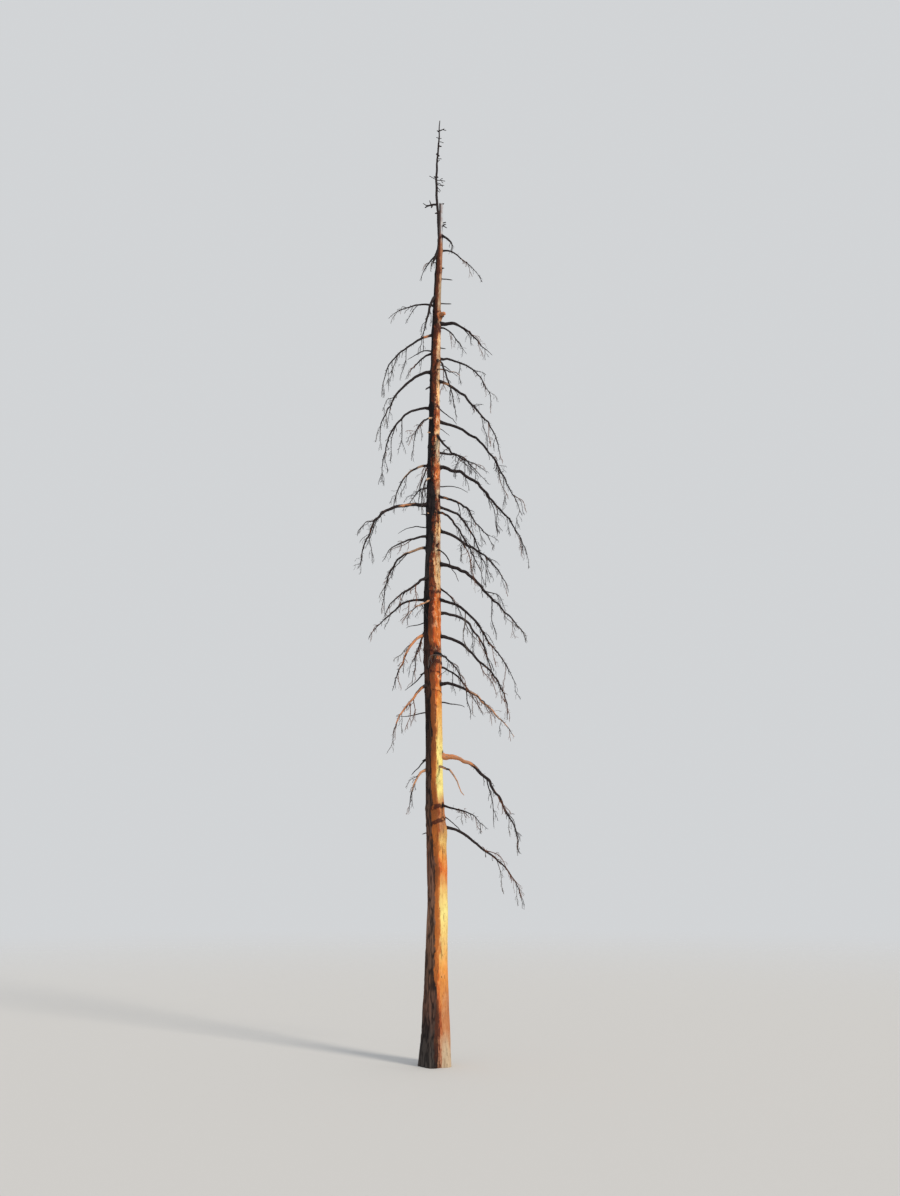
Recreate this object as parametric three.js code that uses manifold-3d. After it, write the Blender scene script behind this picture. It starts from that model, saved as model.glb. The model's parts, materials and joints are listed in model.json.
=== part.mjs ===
import * as THREE from 'three';
import { mergeVertices } from 'three/addons/utils/BufferGeometryUtils.js';
import Module from 'manifold-3d';

// A tall dead conifer, bare of needles and rooted in level ground. It is one tapering trunk that
// runs whole to a thin leader, with drooping limbs that end in bare twigs.
// Millimetres, Z up, origin in the middle of the flat cut at ground level. Headings are degrees
// round the trunk, 0 toward +X and 90 toward +Y, and slopes are degrees above level.

const wasm = await Module();
wasm.setup();

const metre = 1000;
const gap = 0.3;

// Trunk: height above the ground, width there, and how far its middle stands toward +X, in metres
const trunkStations = [
  { up: 0, across: 0.6, aside: 0 },
  { up: 0.45, across: 0.53, aside: 0 },
  { up: 1.1, across: 0.465, aside: 0 },
  { up: 1.95, across: 0.4, aside: 0.005 },
  { up: 2.8, across: 0.37, aside: 0.03 },
  { up: 3.7, across: 0.38, aside: 0.015 },
  { up: 4.9, across: 0.33, aside: -0.04 },
  { up: 5.9, across: 0.32, aside: -0.05 },
  { up: 7.8, across: 0.34, aside: -0.095 },
  { up: 8.7, across: 0.34, aside: -0.105 },
  { up: 9.5, across: 0.305, aside: -0.09 },
  { up: 11.2, across: 0.27, aside: -0.085 },
  { up: 12.3, across: 0.23, aside: -0.08 },
  { up: 13.4, across: 0.21, aside: -0.07 },
  { up: 14.4, across: 0.195, aside: -0.045 },
  { up: 15.4, across: 0.165, aside: -0.03 },
  { up: 16.3, across: 0.145, aside: 0.01 },
  { up: 16.8, across: 0.12, aside: 0.035 },
  { up: 17.2, across: 0.08, aside: 0.055 },
  { up: 17.6, across: 0.072, aside: 0.06 },
  { up: 17.9, across: 0.06, aside: 0.065 },
];

// Leader: the thin last stem, which leaves the side of the trunk under its snapped top
const leaderStations = [
  { up: 16.8, across: 0.05, aside: 0.005 },
  { up: 17.3, across: 0.053, aside: 0.003 },
  { up: 17.7, across: 0.054, aside: -0.015 },
  { up: 18.3, across: 0.05, aside: -0.055 },
  { up: 18.7, across: 0.045, aside: -0.045 },
  { up: 19.5, across: 0.035, aside: 0.003 },
  { up: 19.85, across: 0.026, aside: 0.014 },
  { up: 20, across: 0.012, aside: 0.018 },
];

const trunkSides = 18;
const trunkRings = 26;
const trunkRingCrowding = 1.35;
const leaderSides = 6;
const leaderRings = 8;
const flare = { lobes: 5, depth: 0.09, fades: 0.5, turn: 0.6 };

// Snapped stubs on the trunk: height, heading, length in metres, slope and width in millimetres
const stubs = [
  { up: 4.2, heading: 190, length: 0.3, slope: -15, girth: 26 },
  { up: 5.65, heading: 165, length: 0.28, slope: -25, girth: 38 },
  { up: 7.35, heading: 160, length: 0.3, slope: -20, girth: 36 },
  { up: 9.85, heading: 300, length: 0.25, slope: 5, girth: 34 },
  { up: 10.55, heading: 185, length: 0.26, slope: 5, girth: 30 },
  { up: 12.2, heading: 0, length: 0.26, slope: 0, girth: 32 },
  { up: 13.15, heading: 60, length: 0.22, slope: 10, girth: 30 },
  { up: 13.5, heading: 215, length: 0.3, slope: -45, girth: 46 },
  { up: 14.35, heading: 350, length: 0.22, slope: -10, girth: 28 },
  { up: 15.15, heading: 340, length: 0.2, slope: -35, girth: 44 },
  { up: 15.4, heading: 10, length: 0.25, slope: 5, girth: 26 },
  { up: 16, heading: 0, length: 0.25, slope: -5, girth: 26 },
  { up: 16.35, heading: 200, length: 0.2, slope: 10, girth: 24 },
];

// Short spurs on the leader, told like the stubs
const spurs = [
  { up: 17.3, heading: 30, length: 0.16, slope: 30, girth: 20 },
  { up: 17.8, heading: 180, length: 0.28, slope: 5, girth: 22 },
  { up: 18.45, heading: 175, length: 0.17, slope: 0, girth: 18 },
  { up: 18.8, heading: 60, length: 0.12, slope: 30, girth: 16 },
  { up: 19.2, heading: 200, length: 0.12, slope: 35, girth: 15 },
  { up: 19.45, heading: 20, length: 0.1, slope: 40, girth: 14 },
  { up: 19.7, heading: 240, length: 0.08, slope: 45, girth: 12 },
];

// Limbs, roughly from the lowest up: height of the root and length in metres, heading, slope at the
// root and at the tip, and width at the root in millimetres. A stout limb has its bough as a piece of its own.
const limbs = [
  { up: 4.25, heading: 10, length: 2.4, rise: 8, fall: -62, girth: 48, stout: true },
  { up: 4.68, heading: 325, length: 1.4, rise: 5, fall: -38, girth: 36 },
  { up: 5.38, heading: 205, length: 1.1, rise: 0, fall: -85, girth: 42 },
  { up: 5.6, heading: 350, length: 2.6, rise: 22, fall: -84, girth: 66, stout: true },
  { up: 6.3, heading: 95, length: 1.8, rise: 5, fall: -60, girth: 44 },
  { up: 7, heading: 330, length: 2.1, rise: 20, fall: -65, girth: 54 },
  { up: 7.1, heading: 215, length: 1.7, rise: -20, fall: -90, girth: 48 },
  { up: 7.35, heading: 40, length: 1.6, rise: 20, fall: -60, girth: 36 },
  { up: 7.65, heading: 298, length: 2, rise: 5, fall: -65, girth: 38 },
  { up: 8, heading: 0, length: 2.4, rise: 15, fall: -80, girth: 54, stout: true },
  { up: 8.1, heading: 205, length: 1.6, rise: -15, fall: -80, girth: 52 },
  { up: 8.3, heading: 105, length: 1.8, rise: 10, fall: -65, girth: 46 },
  { up: 8.45, heading: 30, length: 2.2, rise: 30, fall: -75, girth: 52 },
  { up: 8.75, heading: 175, length: 1.6, rise: 10, fall: -65, girth: 44 },
  { up: 8.75, heading: 245, length: 1.3, rise: 0, fall: -45, girth: 38 },
  { up: 8.8, heading: 340, length: 2.65, rise: -15, fall: -67, girth: 50 },
  { up: 9, heading: 25, length: 1.1, rise: 12, fall: -60, girth: 34 },
  { up: 9.3, heading: 215, length: 1.7, rise: -20, fall: -60, girth: 52 },
  { up: 9.5, heading: 355, length: 2.6, rise: 6, fall: -62, girth: 64, stout: true },
  { up: 9.8, heading: 170, length: 1.95, rise: 26, fall: -92, girth: 46 },
  { up: 10.1, heading: 200, length: 1.3, rise: 0, fall: -55, girth: 42 },
  { up: 10.25, heading: 10, length: 2.1, rise: 5, fall: -78, girth: 54 },
  { up: 10.65, heading: 310, length: 2.4, rise: -12, fall: -70, girth: 42 },
  { up: 10.75, heading: 30, length: 2.2, rise: 10, fall: -80, girth: 46 },
  { up: 10.75, heading: 180, length: 2.35, rise: 17, fall: -88, girth: 66, stout: true },
  { up: 11, heading: 330, length: 2.1, rise: -20, fall: -70, girth: 46 },
  { up: 11.1, heading: 120, length: 1.3, rise: 30, fall: -25, girth: 34 },
  { up: 11.35, heading: 238, length: 1.15, rise: 0, fall: -110, girth: 34 },
  { up: 11.58, heading: 355, length: 2.85, rise: 12, fall: -74, girth: 62, stout: true },
  { up: 11.6, heading: 160, length: 1.5, rise: 35, fall: -90, girth: 42 },
  { up: 11.9, heading: 50, length: 1.8, rise: 25, fall: -35, girth: 42 },
  { up: 12.1, heading: 100, length: 1.7, rise: 10, fall: -60, girth: 40 },
  { up: 12.4, heading: 310, length: 2.3, rise: -45, fall: -45, girth: 42 },
  { up: 12.65, heading: 5, length: 2.95, rise: -5, fall: -76, girth: 54, stout: true },
  { up: 12.7, heading: 240, length: 1.6, rise: -5, fall: -95, girth: 36 },
  { up: 12.9, heading: 185, length: 2.3, rise: 22, fall: -106, girth: 46 },
  { up: 13.55, heading: 345, length: 2.45, rise: -10, fall: -80, girth: 52, stout: true },
  { up: 13.75, heading: 170, length: 2.1, rise: 15, fall: -90, girth: 54, stout: true },
  { up: 14.05, heading: 300, length: 1.9, rise: -25, fall: -80, girth: 38 },
  { up: 14.05, heading: 20, length: 1.9, rise: 35, fall: -85, girth: 42 },
  { up: 14.2, heading: 168, length: 0.9, rise: 12, fall: -60, girth: 36 },
  { up: 14.8, heading: 35, length: 1, rise: 35, fall: -50, girth: 32 },
  { up: 14.65, heading: 190, length: 2, rise: -12, fall: -92, girth: 44 },
  { up: 14.9, heading: 350, length: 1.5, rise: 5, fall: -56, girth: 52 },
  { up: 15.3, heading: 195, length: 1.2, rise: 35, fall: -60, girth: 36 },
  { up: 15.6, heading: 228, length: 1.6, rise: -45, fall: -80, girth: 36 },
  { up: 16.65, heading: 15, length: 1.25, rise: 38, fall: -62, girth: 32 },
  { up: 16.6, heading: 165, length: 0.75, rise: -5, fall: -70, girth: 30 },
  { up: 16.75, heading: 230, length: 0.7, rise: -45, fall: -80, girth: 38 },
  { up: 17.05, heading: 320, length: 0.65, rise: -10, fall: -110, girth: 34 },
];

// How a limb, a shoot on a limb and a twig on a shoot grow: knots along the course, how fast it
// bends down, how many degrees it wavers and how much of its width is lost by the tip. For side growth
// also where it starts on its parent, the millimetres between two, the ranges of its angle out from the
// parent, its tilt against it, its length as a share of it and its slope at the tip, and its width.
const limbRule = { knots: 8, bend: 0.7, waver: 7, taper: 0.84 };
const shootRule = {
  knots: 2, bend: 0.9, waver: 14, taper: 0.8, first: 0.26, spacing: 265,
  spread: [28, 62], tilt: [-38, 22], share: [0.26, 0.46], fall: [-85, -40], girth: 0.5,
};
const twigRule = {
  knots: 1, bend: 1, waver: 12, taper: 0.8, first: 0.3, spacing: 600,
  spread: [30, 65], tilt: [-40, 25], share: [0.3, 0.5], fall: [-80, -30], girth: 0.55,
};
const stubRule = { knots: 1, bend: 1, waver: 0, taper: 0.35 };
const leastGirth = 7;
const shareAtTip = 0.3;
const steepest = -88;
const boughShare = 0.375;
const pastBough = 0.04;
const boughSides = 8;
const stemSides = 5;
const shootSides = 3;
const stubSides = 5;

// A mass keeps to the room round its own limb, and its shoots keep clear of all other limbs
const roomOutward = 120;
const roomDownward = 450;
const clearance = 26;
const trunkClearance = 52;
const spotSpacing = 30;
const sunkShare = 0.12;

const bareWood = new THREE.MeshStandardMaterial({ color: '#b98549', roughness: 0.8, metalness: 0 });
const greyBough = new THREE.MeshStandardMaterial({ color: '#5b4a3d', roughness: 0.85, metalness: 0 });
const redTwig = new THREE.MeshStandardMaterial({ color: '#5a3426', roughness: 0.85, metalness: 0 });

// Every limb has a seed of its own, and each thing drawn from a seed has a number of its own
const limbSeeds = 77;
const stubSeeds = 5;
const firstSideGrowth = 20;
const drawn = {
  turnCycles: 1, slopeCycles: 2, turnStart: 3, slopeStart: 4, place: 5, tilt: 6, spread: 7, share: 8, fall: 9,
};

// A repeatable draw between 0 and 1 for any whole number
function draw(seed) {
  let bits = Math.imul(seed ^ (seed >>> 15), 0x2c1b3c6d);
  bits = Math.imul(bits ^ (bits >>> 12), 0x297a2d39);
  return ((bits ^ (bits >>> 15)) >>> 0) / 2 ** 32;
}

const offspring = (seed, index) => (Math.imul(seed, 7919) + (index + 1) * 104729) >>> 0;

function pick(seed, index, [low, high]) {
  return low + (high - low) * draw(offspring(seed, index));
}

// A step of length 1 along a heading and a slope
function direction(heading, slope) {
  const turn = THREE.MathUtils.degToRad(heading);
  const tilt = THREE.MathUtils.degToRad(slope);
  const level = Math.cos(tilt);
  return new THREE.Vector3(level * Math.cos(turn), level * Math.sin(turn), Math.sin(tilt));
}

// Width and sideways place of an upright stem at a height, straight between its stations
function stemAt(stations, up) {
  const next = Math.max(1, stations.findIndex((station, i) => station.up >= up || i === stations.length - 1));
  const [low, high] = [stations[next - 1], stations[next]];
  const share = (up - low.up) / (high.up - low.up);
  return {
    across: THREE.MathUtils.lerp(low.across, high.across, share),
    aside: THREE.MathUtils.lerp(low.aside, high.aside, share),
  };
}

// The root flare stands out in lobes that fade upward
function flareAt(up, angle) {
  return 1 + flare.depth * Math.exp(-up / flare.fades) * Math.cos(flare.lobes * (angle + flare.turn));
}

// An upright stem with level rings and flat ends; grown is added to its radius all round
function uprightStem(stations, sides, rings, crowding, grown) {
  const geometry = new THREE.CylinderGeometry(1, 1, 1, sides, rings);
  const corners = geometry.attributes.position;
  const foot = stations[0].up;
  const height = stations.at(-1).up - foot;
  for (let i = 0; i < corners.count; i++) {
    const up = foot + height * Math.max(0, corners.getY(i) + 0.5) ** crowding;
    const reach = Math.hypot(corners.getX(i), corners.getZ(i));
    const angle = Math.atan2(-corners.getZ(i), corners.getX(i));
    const { across, aside } = stemAt(stations, up);
    const radius = reach * ((across * metre) / 2 * flareAt(up, angle) + grown);
    corners.setXYZ(i, aside * metre + radius * Math.cos(angle), radius * Math.sin(angle), up * metre);
  }
  return solidOf(geometry);
}

// A closed geometry as a solid that can be joined and cut
function solidOf(geometry) {
  const bare = geometry.clone();
  bare.deleteAttribute('normal');
  bare.deleteAttribute('uv');
  const merged = mergeVertices(bare, 0.001);
  return new wasm.Manifold(new wasm.Mesh({
    numProp: 3,
    vertProperties: new Float32Array(merged.attributes.position.array),
    triVerts: new Uint32Array(merged.index.array),
  }));
}

// A mesh placed at its root, with its geometry told from there
function meshOf(name, solid, material, root) {
  const { vertProperties, triVerts } = solid.getMesh();
  const geometry = new THREE.BufferGeometry();
  geometry.setAttribute('position', new THREE.BufferAttribute(vertProperties, 3));
  geometry.setIndex(new THREE.BufferAttribute(triVerts, 1));
  const place = root.clone().round();
  geometry.translate(-place.x, -place.y, -place.z);
  geometry.computeVertexNormals();
  const mesh = new THREE.Mesh(geometry, material);
  mesh.name = name;
  mesh.position.copy(place);
  return mesh;
}

// The knots of a limb, shoot or twig: it leaves at one slope, sinks to another and wavers on the way
function grow({ from, heading, length, rise, fall, girth, seed }, rule) {
  const waver = (cyclesDraw, startDraw) => {
    const cycles = pick(seed, cyclesDraw, [0.8, 1.6]);
    const start = 2 * Math.PI * pick(seed, startDraw, [0, 1]);
    return (s) => rule.waver * (Math.sin(2 * Math.PI * s * cycles + start) - Math.sin(start));
  };
  const turnWaver = waver(drawn.turnCycles, drawn.turnStart);
  const slopeWaver = waver(drawn.slopeCycles, drawn.slopeStart);
  const headingAt = (s) => heading + turnWaver(s);
  const slopeAt = (s) => rise + (fall - rise) * s ** rule.bend + slopeWaver(s);
  const step = length / rule.knots;
  const at = from.clone();
  const knots = [];
  for (let i = 0; i <= rule.knots; i++) {
    const s = i / rule.knots;
    const width = Math.max(leastGirth, girth * (1 - rule.taper * s));
    knots.push({ at: at.clone(), heading: headingAt(s), slope: slopeAt(s), width });
    const mid = s + 0.5 / rule.knots;
    at.addScaledVector(direction(headingAt(mid), slopeAt(mid)), step);
  }
  return { knots, length, seed };
}

// A place part of the way along a branch
function placeAt(branch, s) {
  const along = s * (branch.knots.length - 1);
  const i = Math.min(Math.floor(along), branch.knots.length - 2);
  const [low, high] = [branch.knots[i], branch.knots[i + 1]];
  const mix = (key) => THREE.MathUtils.lerp(low[key], high[key], along - i);
  const at = low.at.clone().lerp(high.at, along - i);
  return { at, heading: mix('heading'), slope: mix('slope'), width: mix('width') };
}

// The side growth of a branch, on alternate sides, shorter toward the tip and drooping more
function sideGrowth(parent, rule, first) {
  const count = Math.round((parent.length * (1 - first)) / rule.spacing);
  return Array.from({ length: count }, (_, i) => {
    const seed = offspring(parent.seed, i + firstSideGrowth);
    const s = first + ((1 - first) * (i + pick(seed, drawn.place, [0.1, 0.8]))) / count;
    const place = placeAt(parent, s);
    const side = (i + (parent.seed % 2)) % 2 ? 1 : -1;
    const rise = Math.max(steepest, place.slope + pick(seed, drawn.tilt, rule.tilt));
    return grow({
      from: place.at,
      heading: place.heading + side * pick(seed, drawn.spread, rule.spread),
      length: parent.length * pick(seed, drawn.share, rule.share) * (1 + shareAtTip - s),
      rise,
      fall: Math.min(rise, pick(seed, drawn.fall, rule.fall)),
      girth: place.width * rule.girth,
      seed,
    }, rule);
  });
}

// Places along a branch for testing its distance from others, past the part sunk in its parent
function spotsOf(branch) {
  const count = Math.max(2, Math.ceil(branch.length / spotSpacing));
  return Array.from({ length: count + 1 }, (_, i) => (
    placeAt(branch, sunkShare + ((1 - sunkShare) * i) / count)
  ));
}

// The straight stretches of a branch, each with the limb that owns it
function stretchesOf(branch, owner) {
  return branch.knots.slice(1).map((knot, i) => ({
    owner,
    from: branch.knots[i].at,
    to: knot.at,
    radius: branch.knots[i].width / 2,
  }));
}

const toStretch = new THREE.Vector3();
const onStretch = new THREE.Vector3();

function distanceTo({ from, to }, at) {
  onStretch.subVectors(to, from);
  toStretch.subVectors(at, from);
  const share = THREE.MathUtils.clamp(toStretch.dot(onStretch) / onStretch.lengthSq(), 0, 1);
  return toStretch.addScaledVector(onStretch, -share).length();
}

// True where a branch stays in its limb's room and keeps clear of the trunk and all other limbs
function isClear(branch, owner, room, stretches) {
  return spotsOf(branch).every(({ at, width }) => {
    const { across, aside } = stemAt(trunkStations, Math.min(at.z / metre, trunkStations.at(-1).up));
    const out = Math.hypot(at.x - aside * metre, at.y);
    if (out > room.out || at.z < room.low || out < (across * metre) / 2 + trunkClearance) return false;
    return stretches.every((stretch) => (
      stretch.owner === owner || distanceTo(stretch, at) > stretch.radius + width / 2 + clearance
    ));
  });
}

// A branch as a closed tube through its knots from first to last, pointed where it is sharp.
// A flat end stands back by half the gap, so two tubes that meet at a knot stay clear of each other.
function tube(branch, { sides, first = 0, last = branch.knots.length - 1, sharp = true }) {
  const steps = last - first;
  const geometry = new THREE.CylinderGeometry(sharp ? 0 : 1, 1, 1, sides, steps);
  const corners = geometry.attributes.position;
  for (let i = 0; i < corners.count; i++) {
    const step = Math.round((corners.getY(i) + 0.5) * steps);
    const { at, heading, slope, width } = branch.knots[first + step];
    const onAxis = Math.hypot(corners.getX(i), corners.getZ(i)) < 0.001;
    const angle = Math.atan2(-corners.getZ(i), corners.getX(i));
    const radius = onAxis ? 0 : width / 2;
    const setBack = (step === 0 ? gap / 2 : 0) - (step === steps && !sharp ? gap / 2 : 0);
    const corner = at.clone()
      .addScaledVector(direction(heading, slope), setBack)
      .addScaledVector(direction(heading + 90, 0), radius * Math.cos(angle))
      .addScaledVector(direction(heading, slope + 90), radius * Math.sin(angle));
    corners.setXYZ(i, corner.x, corner.y, corner.z);
  }
  return solidOf(geometry);
}

// The trunk and leader together, with some room added all round
const trunkSolid = (room) => wasm.Manifold.union([
  uprightStem(trunkStations, trunkSides, trunkRings, trunkRingCrowding, room),
  uprightStem(leaderStations, leaderSides, leaderRings, 1, room),
]);

const trunkRoom = trunkSolid(gap);

// What the trunk leaves of a limb that starts inside it, clear of it by the gap
function clearOfTrunk(solid) {
  const pieces = solid.subtract(trunkRoom).decompose();
  return pieces.sort((a, b) => b.volume() - a.volume())[0];
}

const onTrunk = (up) => new THREE.Vector3(stemAt(trunkStations, up).aside * metre, 0, up * metre);
const onLeader = (up) => new THREE.Vector3(stemAt(leaderStations, up).aside * metre, 0, up * metre);

// Limbs first, then the shoots on each, then the twigs on each shoot, each kept only where it is clear
const stretches = [];
const crown = limbs.map(({ up, length, stout, ...limb }, i) => {
  const [from, seed] = [onTrunk(up), offspring(limbSeeds, i)];
  const stem = grow({ ...limb, from, length: length * metre, seed }, limbRule);
  stretches.push(...stretchesOf(stem, i));
  const outs = stem.knots.map(({ at }) => Math.hypot(at.x - stem.knots[0].at.x, at.y));
  const room = {
    out: Math.max(...outs) + roomOutward,
    low: Math.min(...stem.knots.map(({ at }) => at.z)) - roomDownward,
  };
  return { stem, stout, room, shoots: [], twigs: [] };
});

const stubBranches = [...stubs, ...spurs].map((stub, i) => {
  const { up, heading, slope, girth } = stub;
  const from = i < stubs.length ? onTrunk(up) : onLeader(up);
  const [length, seed] = [stub.length * metre, offspring(stubSeeds, i)];
  return grow({ from, heading, length, rise: slope, fall: slope, girth, seed }, stubRule);
});
stubBranches.forEach((stub) => stretches.push(...stretchesOf(stub, 'trunk')));

crown.forEach((limb, i) => {
  const first = limb.stout ? boughShare + pastBough : shootRule.first;
  for (const shoot of sideGrowth(limb.stem, shootRule, first)) {
    if (!isClear(shoot, i, limb.room, stretches)) continue;
    limb.shoots.push(shoot);
    stretches.push(...stretchesOf(shoot, i));
  }
});

crown.forEach((limb, i) => {
  for (const twig of limb.shoots.flatMap((shoot) => sideGrowth(shoot, twigRule, twigRule.first))) {
    if (!isClear(twig, i, limb.room, stretches)) continue;
    limb.twigs.push(twig);
    stretches.push(...stretchesOf(twig, i));
  }
});

const tree = new THREE.Group();

tree.add(meshOf('trunk', wasm.Manifold.union([
  trunkSolid(0),
  ...stubBranches.map((stub) => tube(stub, { sides: stubSides, sharp: false })),
]), bareWood, new THREE.Vector3()));

crown.forEach(({ stem, stout, shoots, twigs }, i) => {
  const number = String(i + 1).padStart(2, '0');
  const split = Math.round(boughShare * limbRule.knots);
  if (stout) {
    const bough = clearOfTrunk(tube(stem, { sides: boughSides, last: split, sharp: false }));
    tree.add(meshOf(`bough_${number}`, bough, greyBough, stem.knots[0].at));
  }
  const bareStem = tube(stem, { sides: stemSides, first: stout ? split : 0 });
  const mass = wasm.Manifold.union([
    stout ? bareStem : clearOfTrunk(bareStem),
    ...shoots.map((shoot) => tube(shoot, { sides: shootSides })),
    ...twigs.map((twig) => tube(twig, { sides: shootSides })),
  ]);
  tree.add(meshOf(`twigs_${number}`, mass, redTwig, stem.knots[stout ? split : 0].at));
});

export default tree;
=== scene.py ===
# A tall dead conifer, bare of needles: its trunk, its drooping limbs and their fine dead twigs are
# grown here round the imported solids. Metres, Z up, origin in the flat cut at ground level. Headings
# are degrees round the trunk, 0 toward +X and 90 toward +Y, and slopes are degrees above level.
import json
import math
from types import SimpleNamespace

import bpy
import numpy as np
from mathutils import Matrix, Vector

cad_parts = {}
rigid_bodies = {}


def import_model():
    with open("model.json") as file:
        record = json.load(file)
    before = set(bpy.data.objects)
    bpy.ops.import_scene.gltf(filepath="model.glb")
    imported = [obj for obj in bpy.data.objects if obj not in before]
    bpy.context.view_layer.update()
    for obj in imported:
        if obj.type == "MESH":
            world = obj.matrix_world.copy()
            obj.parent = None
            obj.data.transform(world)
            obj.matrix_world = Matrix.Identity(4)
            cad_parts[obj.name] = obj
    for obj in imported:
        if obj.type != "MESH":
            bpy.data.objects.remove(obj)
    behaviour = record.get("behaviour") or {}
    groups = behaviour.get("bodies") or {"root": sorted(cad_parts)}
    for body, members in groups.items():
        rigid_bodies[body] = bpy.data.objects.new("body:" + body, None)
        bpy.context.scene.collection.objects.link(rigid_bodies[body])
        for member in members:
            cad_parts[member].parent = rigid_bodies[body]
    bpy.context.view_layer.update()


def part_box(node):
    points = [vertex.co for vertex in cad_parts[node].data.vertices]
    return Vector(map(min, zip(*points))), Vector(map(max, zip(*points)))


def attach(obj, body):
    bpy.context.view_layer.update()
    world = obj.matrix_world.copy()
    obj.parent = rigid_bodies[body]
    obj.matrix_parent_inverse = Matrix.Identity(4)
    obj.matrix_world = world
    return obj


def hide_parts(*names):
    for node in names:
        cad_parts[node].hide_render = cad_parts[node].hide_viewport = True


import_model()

# Trunk: one whole stem of dead softwood, rooted in the ground and grown in yearly rings.
# Weather has stripped and bleached its right side, while charred bark still clings to its left
# side. The bare wood is painted bright and golden where it turns to the sun and dark where it turns
# away: painted sunlight and painted shade. Roots swell its foot, each limb swells the wood round its
# own root, and the top is snapped.
TRUNK_STATIONS = (  # height, width there, and how far the middle stands toward +X
    (0, 0.6, 0), (0.45, 0.53, 0), (1.1, 0.465, 0), (1.95, 0.4, 0.005), (2.8, 0.37, 0.03),
    (3.7, 0.38, 0.015), (4.9, 0.33, -0.04), (5.9, 0.32, -0.05), (7.8, 0.34, -0.095), (8.7, 0.34, -0.105),
    (9.5, 0.305, -0.09), (11.2, 0.27, -0.085), (12.3, 0.23, -0.08), (13.4, 0.21, -0.07),
    (14.4, 0.195, -0.045), (15.4, 0.165, -0.03), (16.3, 0.145, 0.01), (16.8, 0.12, 0.035),
    (17.2, 0.084, 0.054), (17.6, 0.084, 0.056), (17.9, 0.08, 0.058),
)
STATION_EASE = 0.3
FLARE_LOBES, FLARE_DEPTH, FLARE_FADES, FLARE_TURN = 5, 0.09, 0.5, 0.6
TRUNK_PIECES = (  # name, foot, top, sides and rings
    ("trunk_lower", 0, 5.7, 120, 600),
    ("trunk_middle", 5.7, 11.7, 120, 600),
    ("trunk_upper", 11.7, 17.9, 120, 600),
)
BARK_HEADING, BARK_EDGE = 178, 14
BARK_HALF_WIDTH = (  # height, and how many degrees the bark reaches to each side of its middle
    (0, 86), (2.5, 86), (3.2, 78), (4, 66), (5, 71), (5.9, 75), (7.8, 74), (8.7, 70), (9.1, 65), (9.6, 65),
    (9.75, 84), (10.5, 84), (10.65, 112), (10.95, 112), (11.3, 70), (12.15, 66), (12.3, 88), (12.95, 88),
    (13.1, 57), (14.5, 55), (14.7, 66), (14.95, 64), (15.2, 66), (16, 64), (17.2, 60), (17.9, 50),
)
SUN_SIDE = (  # height, and how many degrees from the bark's middle the bare wood is half way from painted shade to painted sunlight
    (0, 104), (0.4, 108), (0.9, 114), (1.3, 104), (3.1, 104), (3.5, 108), (4, 101), (4.6, 114), (5, 104),
    (6.4, 108), (7.2, 110), (7.6, 122), (7.9, 102), (8.7, 103), (9, 118), (9.3, 104), (9.6, 99), (9.9, 111),
    (10.2, 104), (10.45, 126), (10.85, 124), (11.1, 108), (11.4, 99), (11.8, 105), (12.3, 109), (12.6, 103),
    (12.9, 112), (13.3, 111), (13.7, 116), (14.1, 103), (14.5, 106), (14.7, 128), (14.95, 120), (15.1, 104),
    (15.4, 104), (15.8, 106), (16.2, 122), (16.6, 102), (18, 92),
)
SUN_SIDE_BLEND = 42
BARK_RAGS = (  # degrees that the bark's edge wanders, waves round the trunk, height of a wave, and seed
    (30, 3, 0.4, 11), (16, 9, 0.07, 15),
)
BARK_PATCHES = (  # height, and how readily thin inner bark still covers the bare side there
    (0, -0.5), (6.8, -0.3), (7.4, 0.25), (7.75, 0.35), (7.95, -0.2), (10.25, -0.2), (10.5, 0.25),
    (10.85, 0.3), (11.1, -0.1), (12.8, -0.2), (12.95, 0.1), (13.1, -0.3), (14.6, -0.3), (14.8, 0.2),
    (15, -0.3), (17.9, -0.5),
)
PATCH_WAVES, PATCH_HEIGHT = 5, 0.22
PATCH_LEVEL, PATCH_GAIN, PATCH_EDGE = 0.7, 0.42, 0.06
INNER_LEE = 0.3
MOTTLES = (  # height, and how strongly dark red and pale blotches mottle the bare side
    (0, 0.1), (6.4, 0.2), (7.2, 0.5), (8.6, 0.5), (9, 1), (13.6, 1), (14.6, 0.7), (15, 0.3), (18, 0.2),
)
RINGS = (  # height, half height, strength and rise toward +X of the dark ridges that run round the whorls, dark partly as wood and partly as painted shade under the whorls' limbs
    (4.42, 0.05, 1, 0.02), (4.69, 0.06, 1, -0.02), (6.92, 0.025, 0.7, 0), (7.3, 0.03, 0.7, 0.02),
    (7.52, 0.05, 1, 0.03), (7.72, 0.04, 1, -0.02), (8.98, 0.045, 0.8, 0.02), (9.85, 0.03, 0.6, -0.02),
    (10.42, 0.05, 0.8, 0.01), (10.75, 0.06, 0.7, -0.02), (11.3, 0.03, 0.6, 0.02), (12.14, 0.03, 0.7, 0),
    (12.5, 0.025, 0.6, 0.03), (12.98, 0.06, 0.8, -0.02), (13.6, 0.03, 0.6, 0), (14.8, 0.1, 1, 0.07),
    (15.25, 0.04, 0.7, 0.02), (16.2, 0.09, 0.8, 0.03), (16.65, 0.08, 0.35, 0.03), (17.03, 0.05, 0.9, 0),
)
RING_SAG, RING_WANDER, RING_SWELL = 0.05, 0.05, 0.012
RING_GAPS, RING_GAP_HEIGHT = (0.25, 0.5), 0.05
COLLAR_DROP, COLLAR_WIDTH, COLLAR_HEIGHT, COLLAR_SWELL = 0.15, 1.05, 1.3, 0.28
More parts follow.
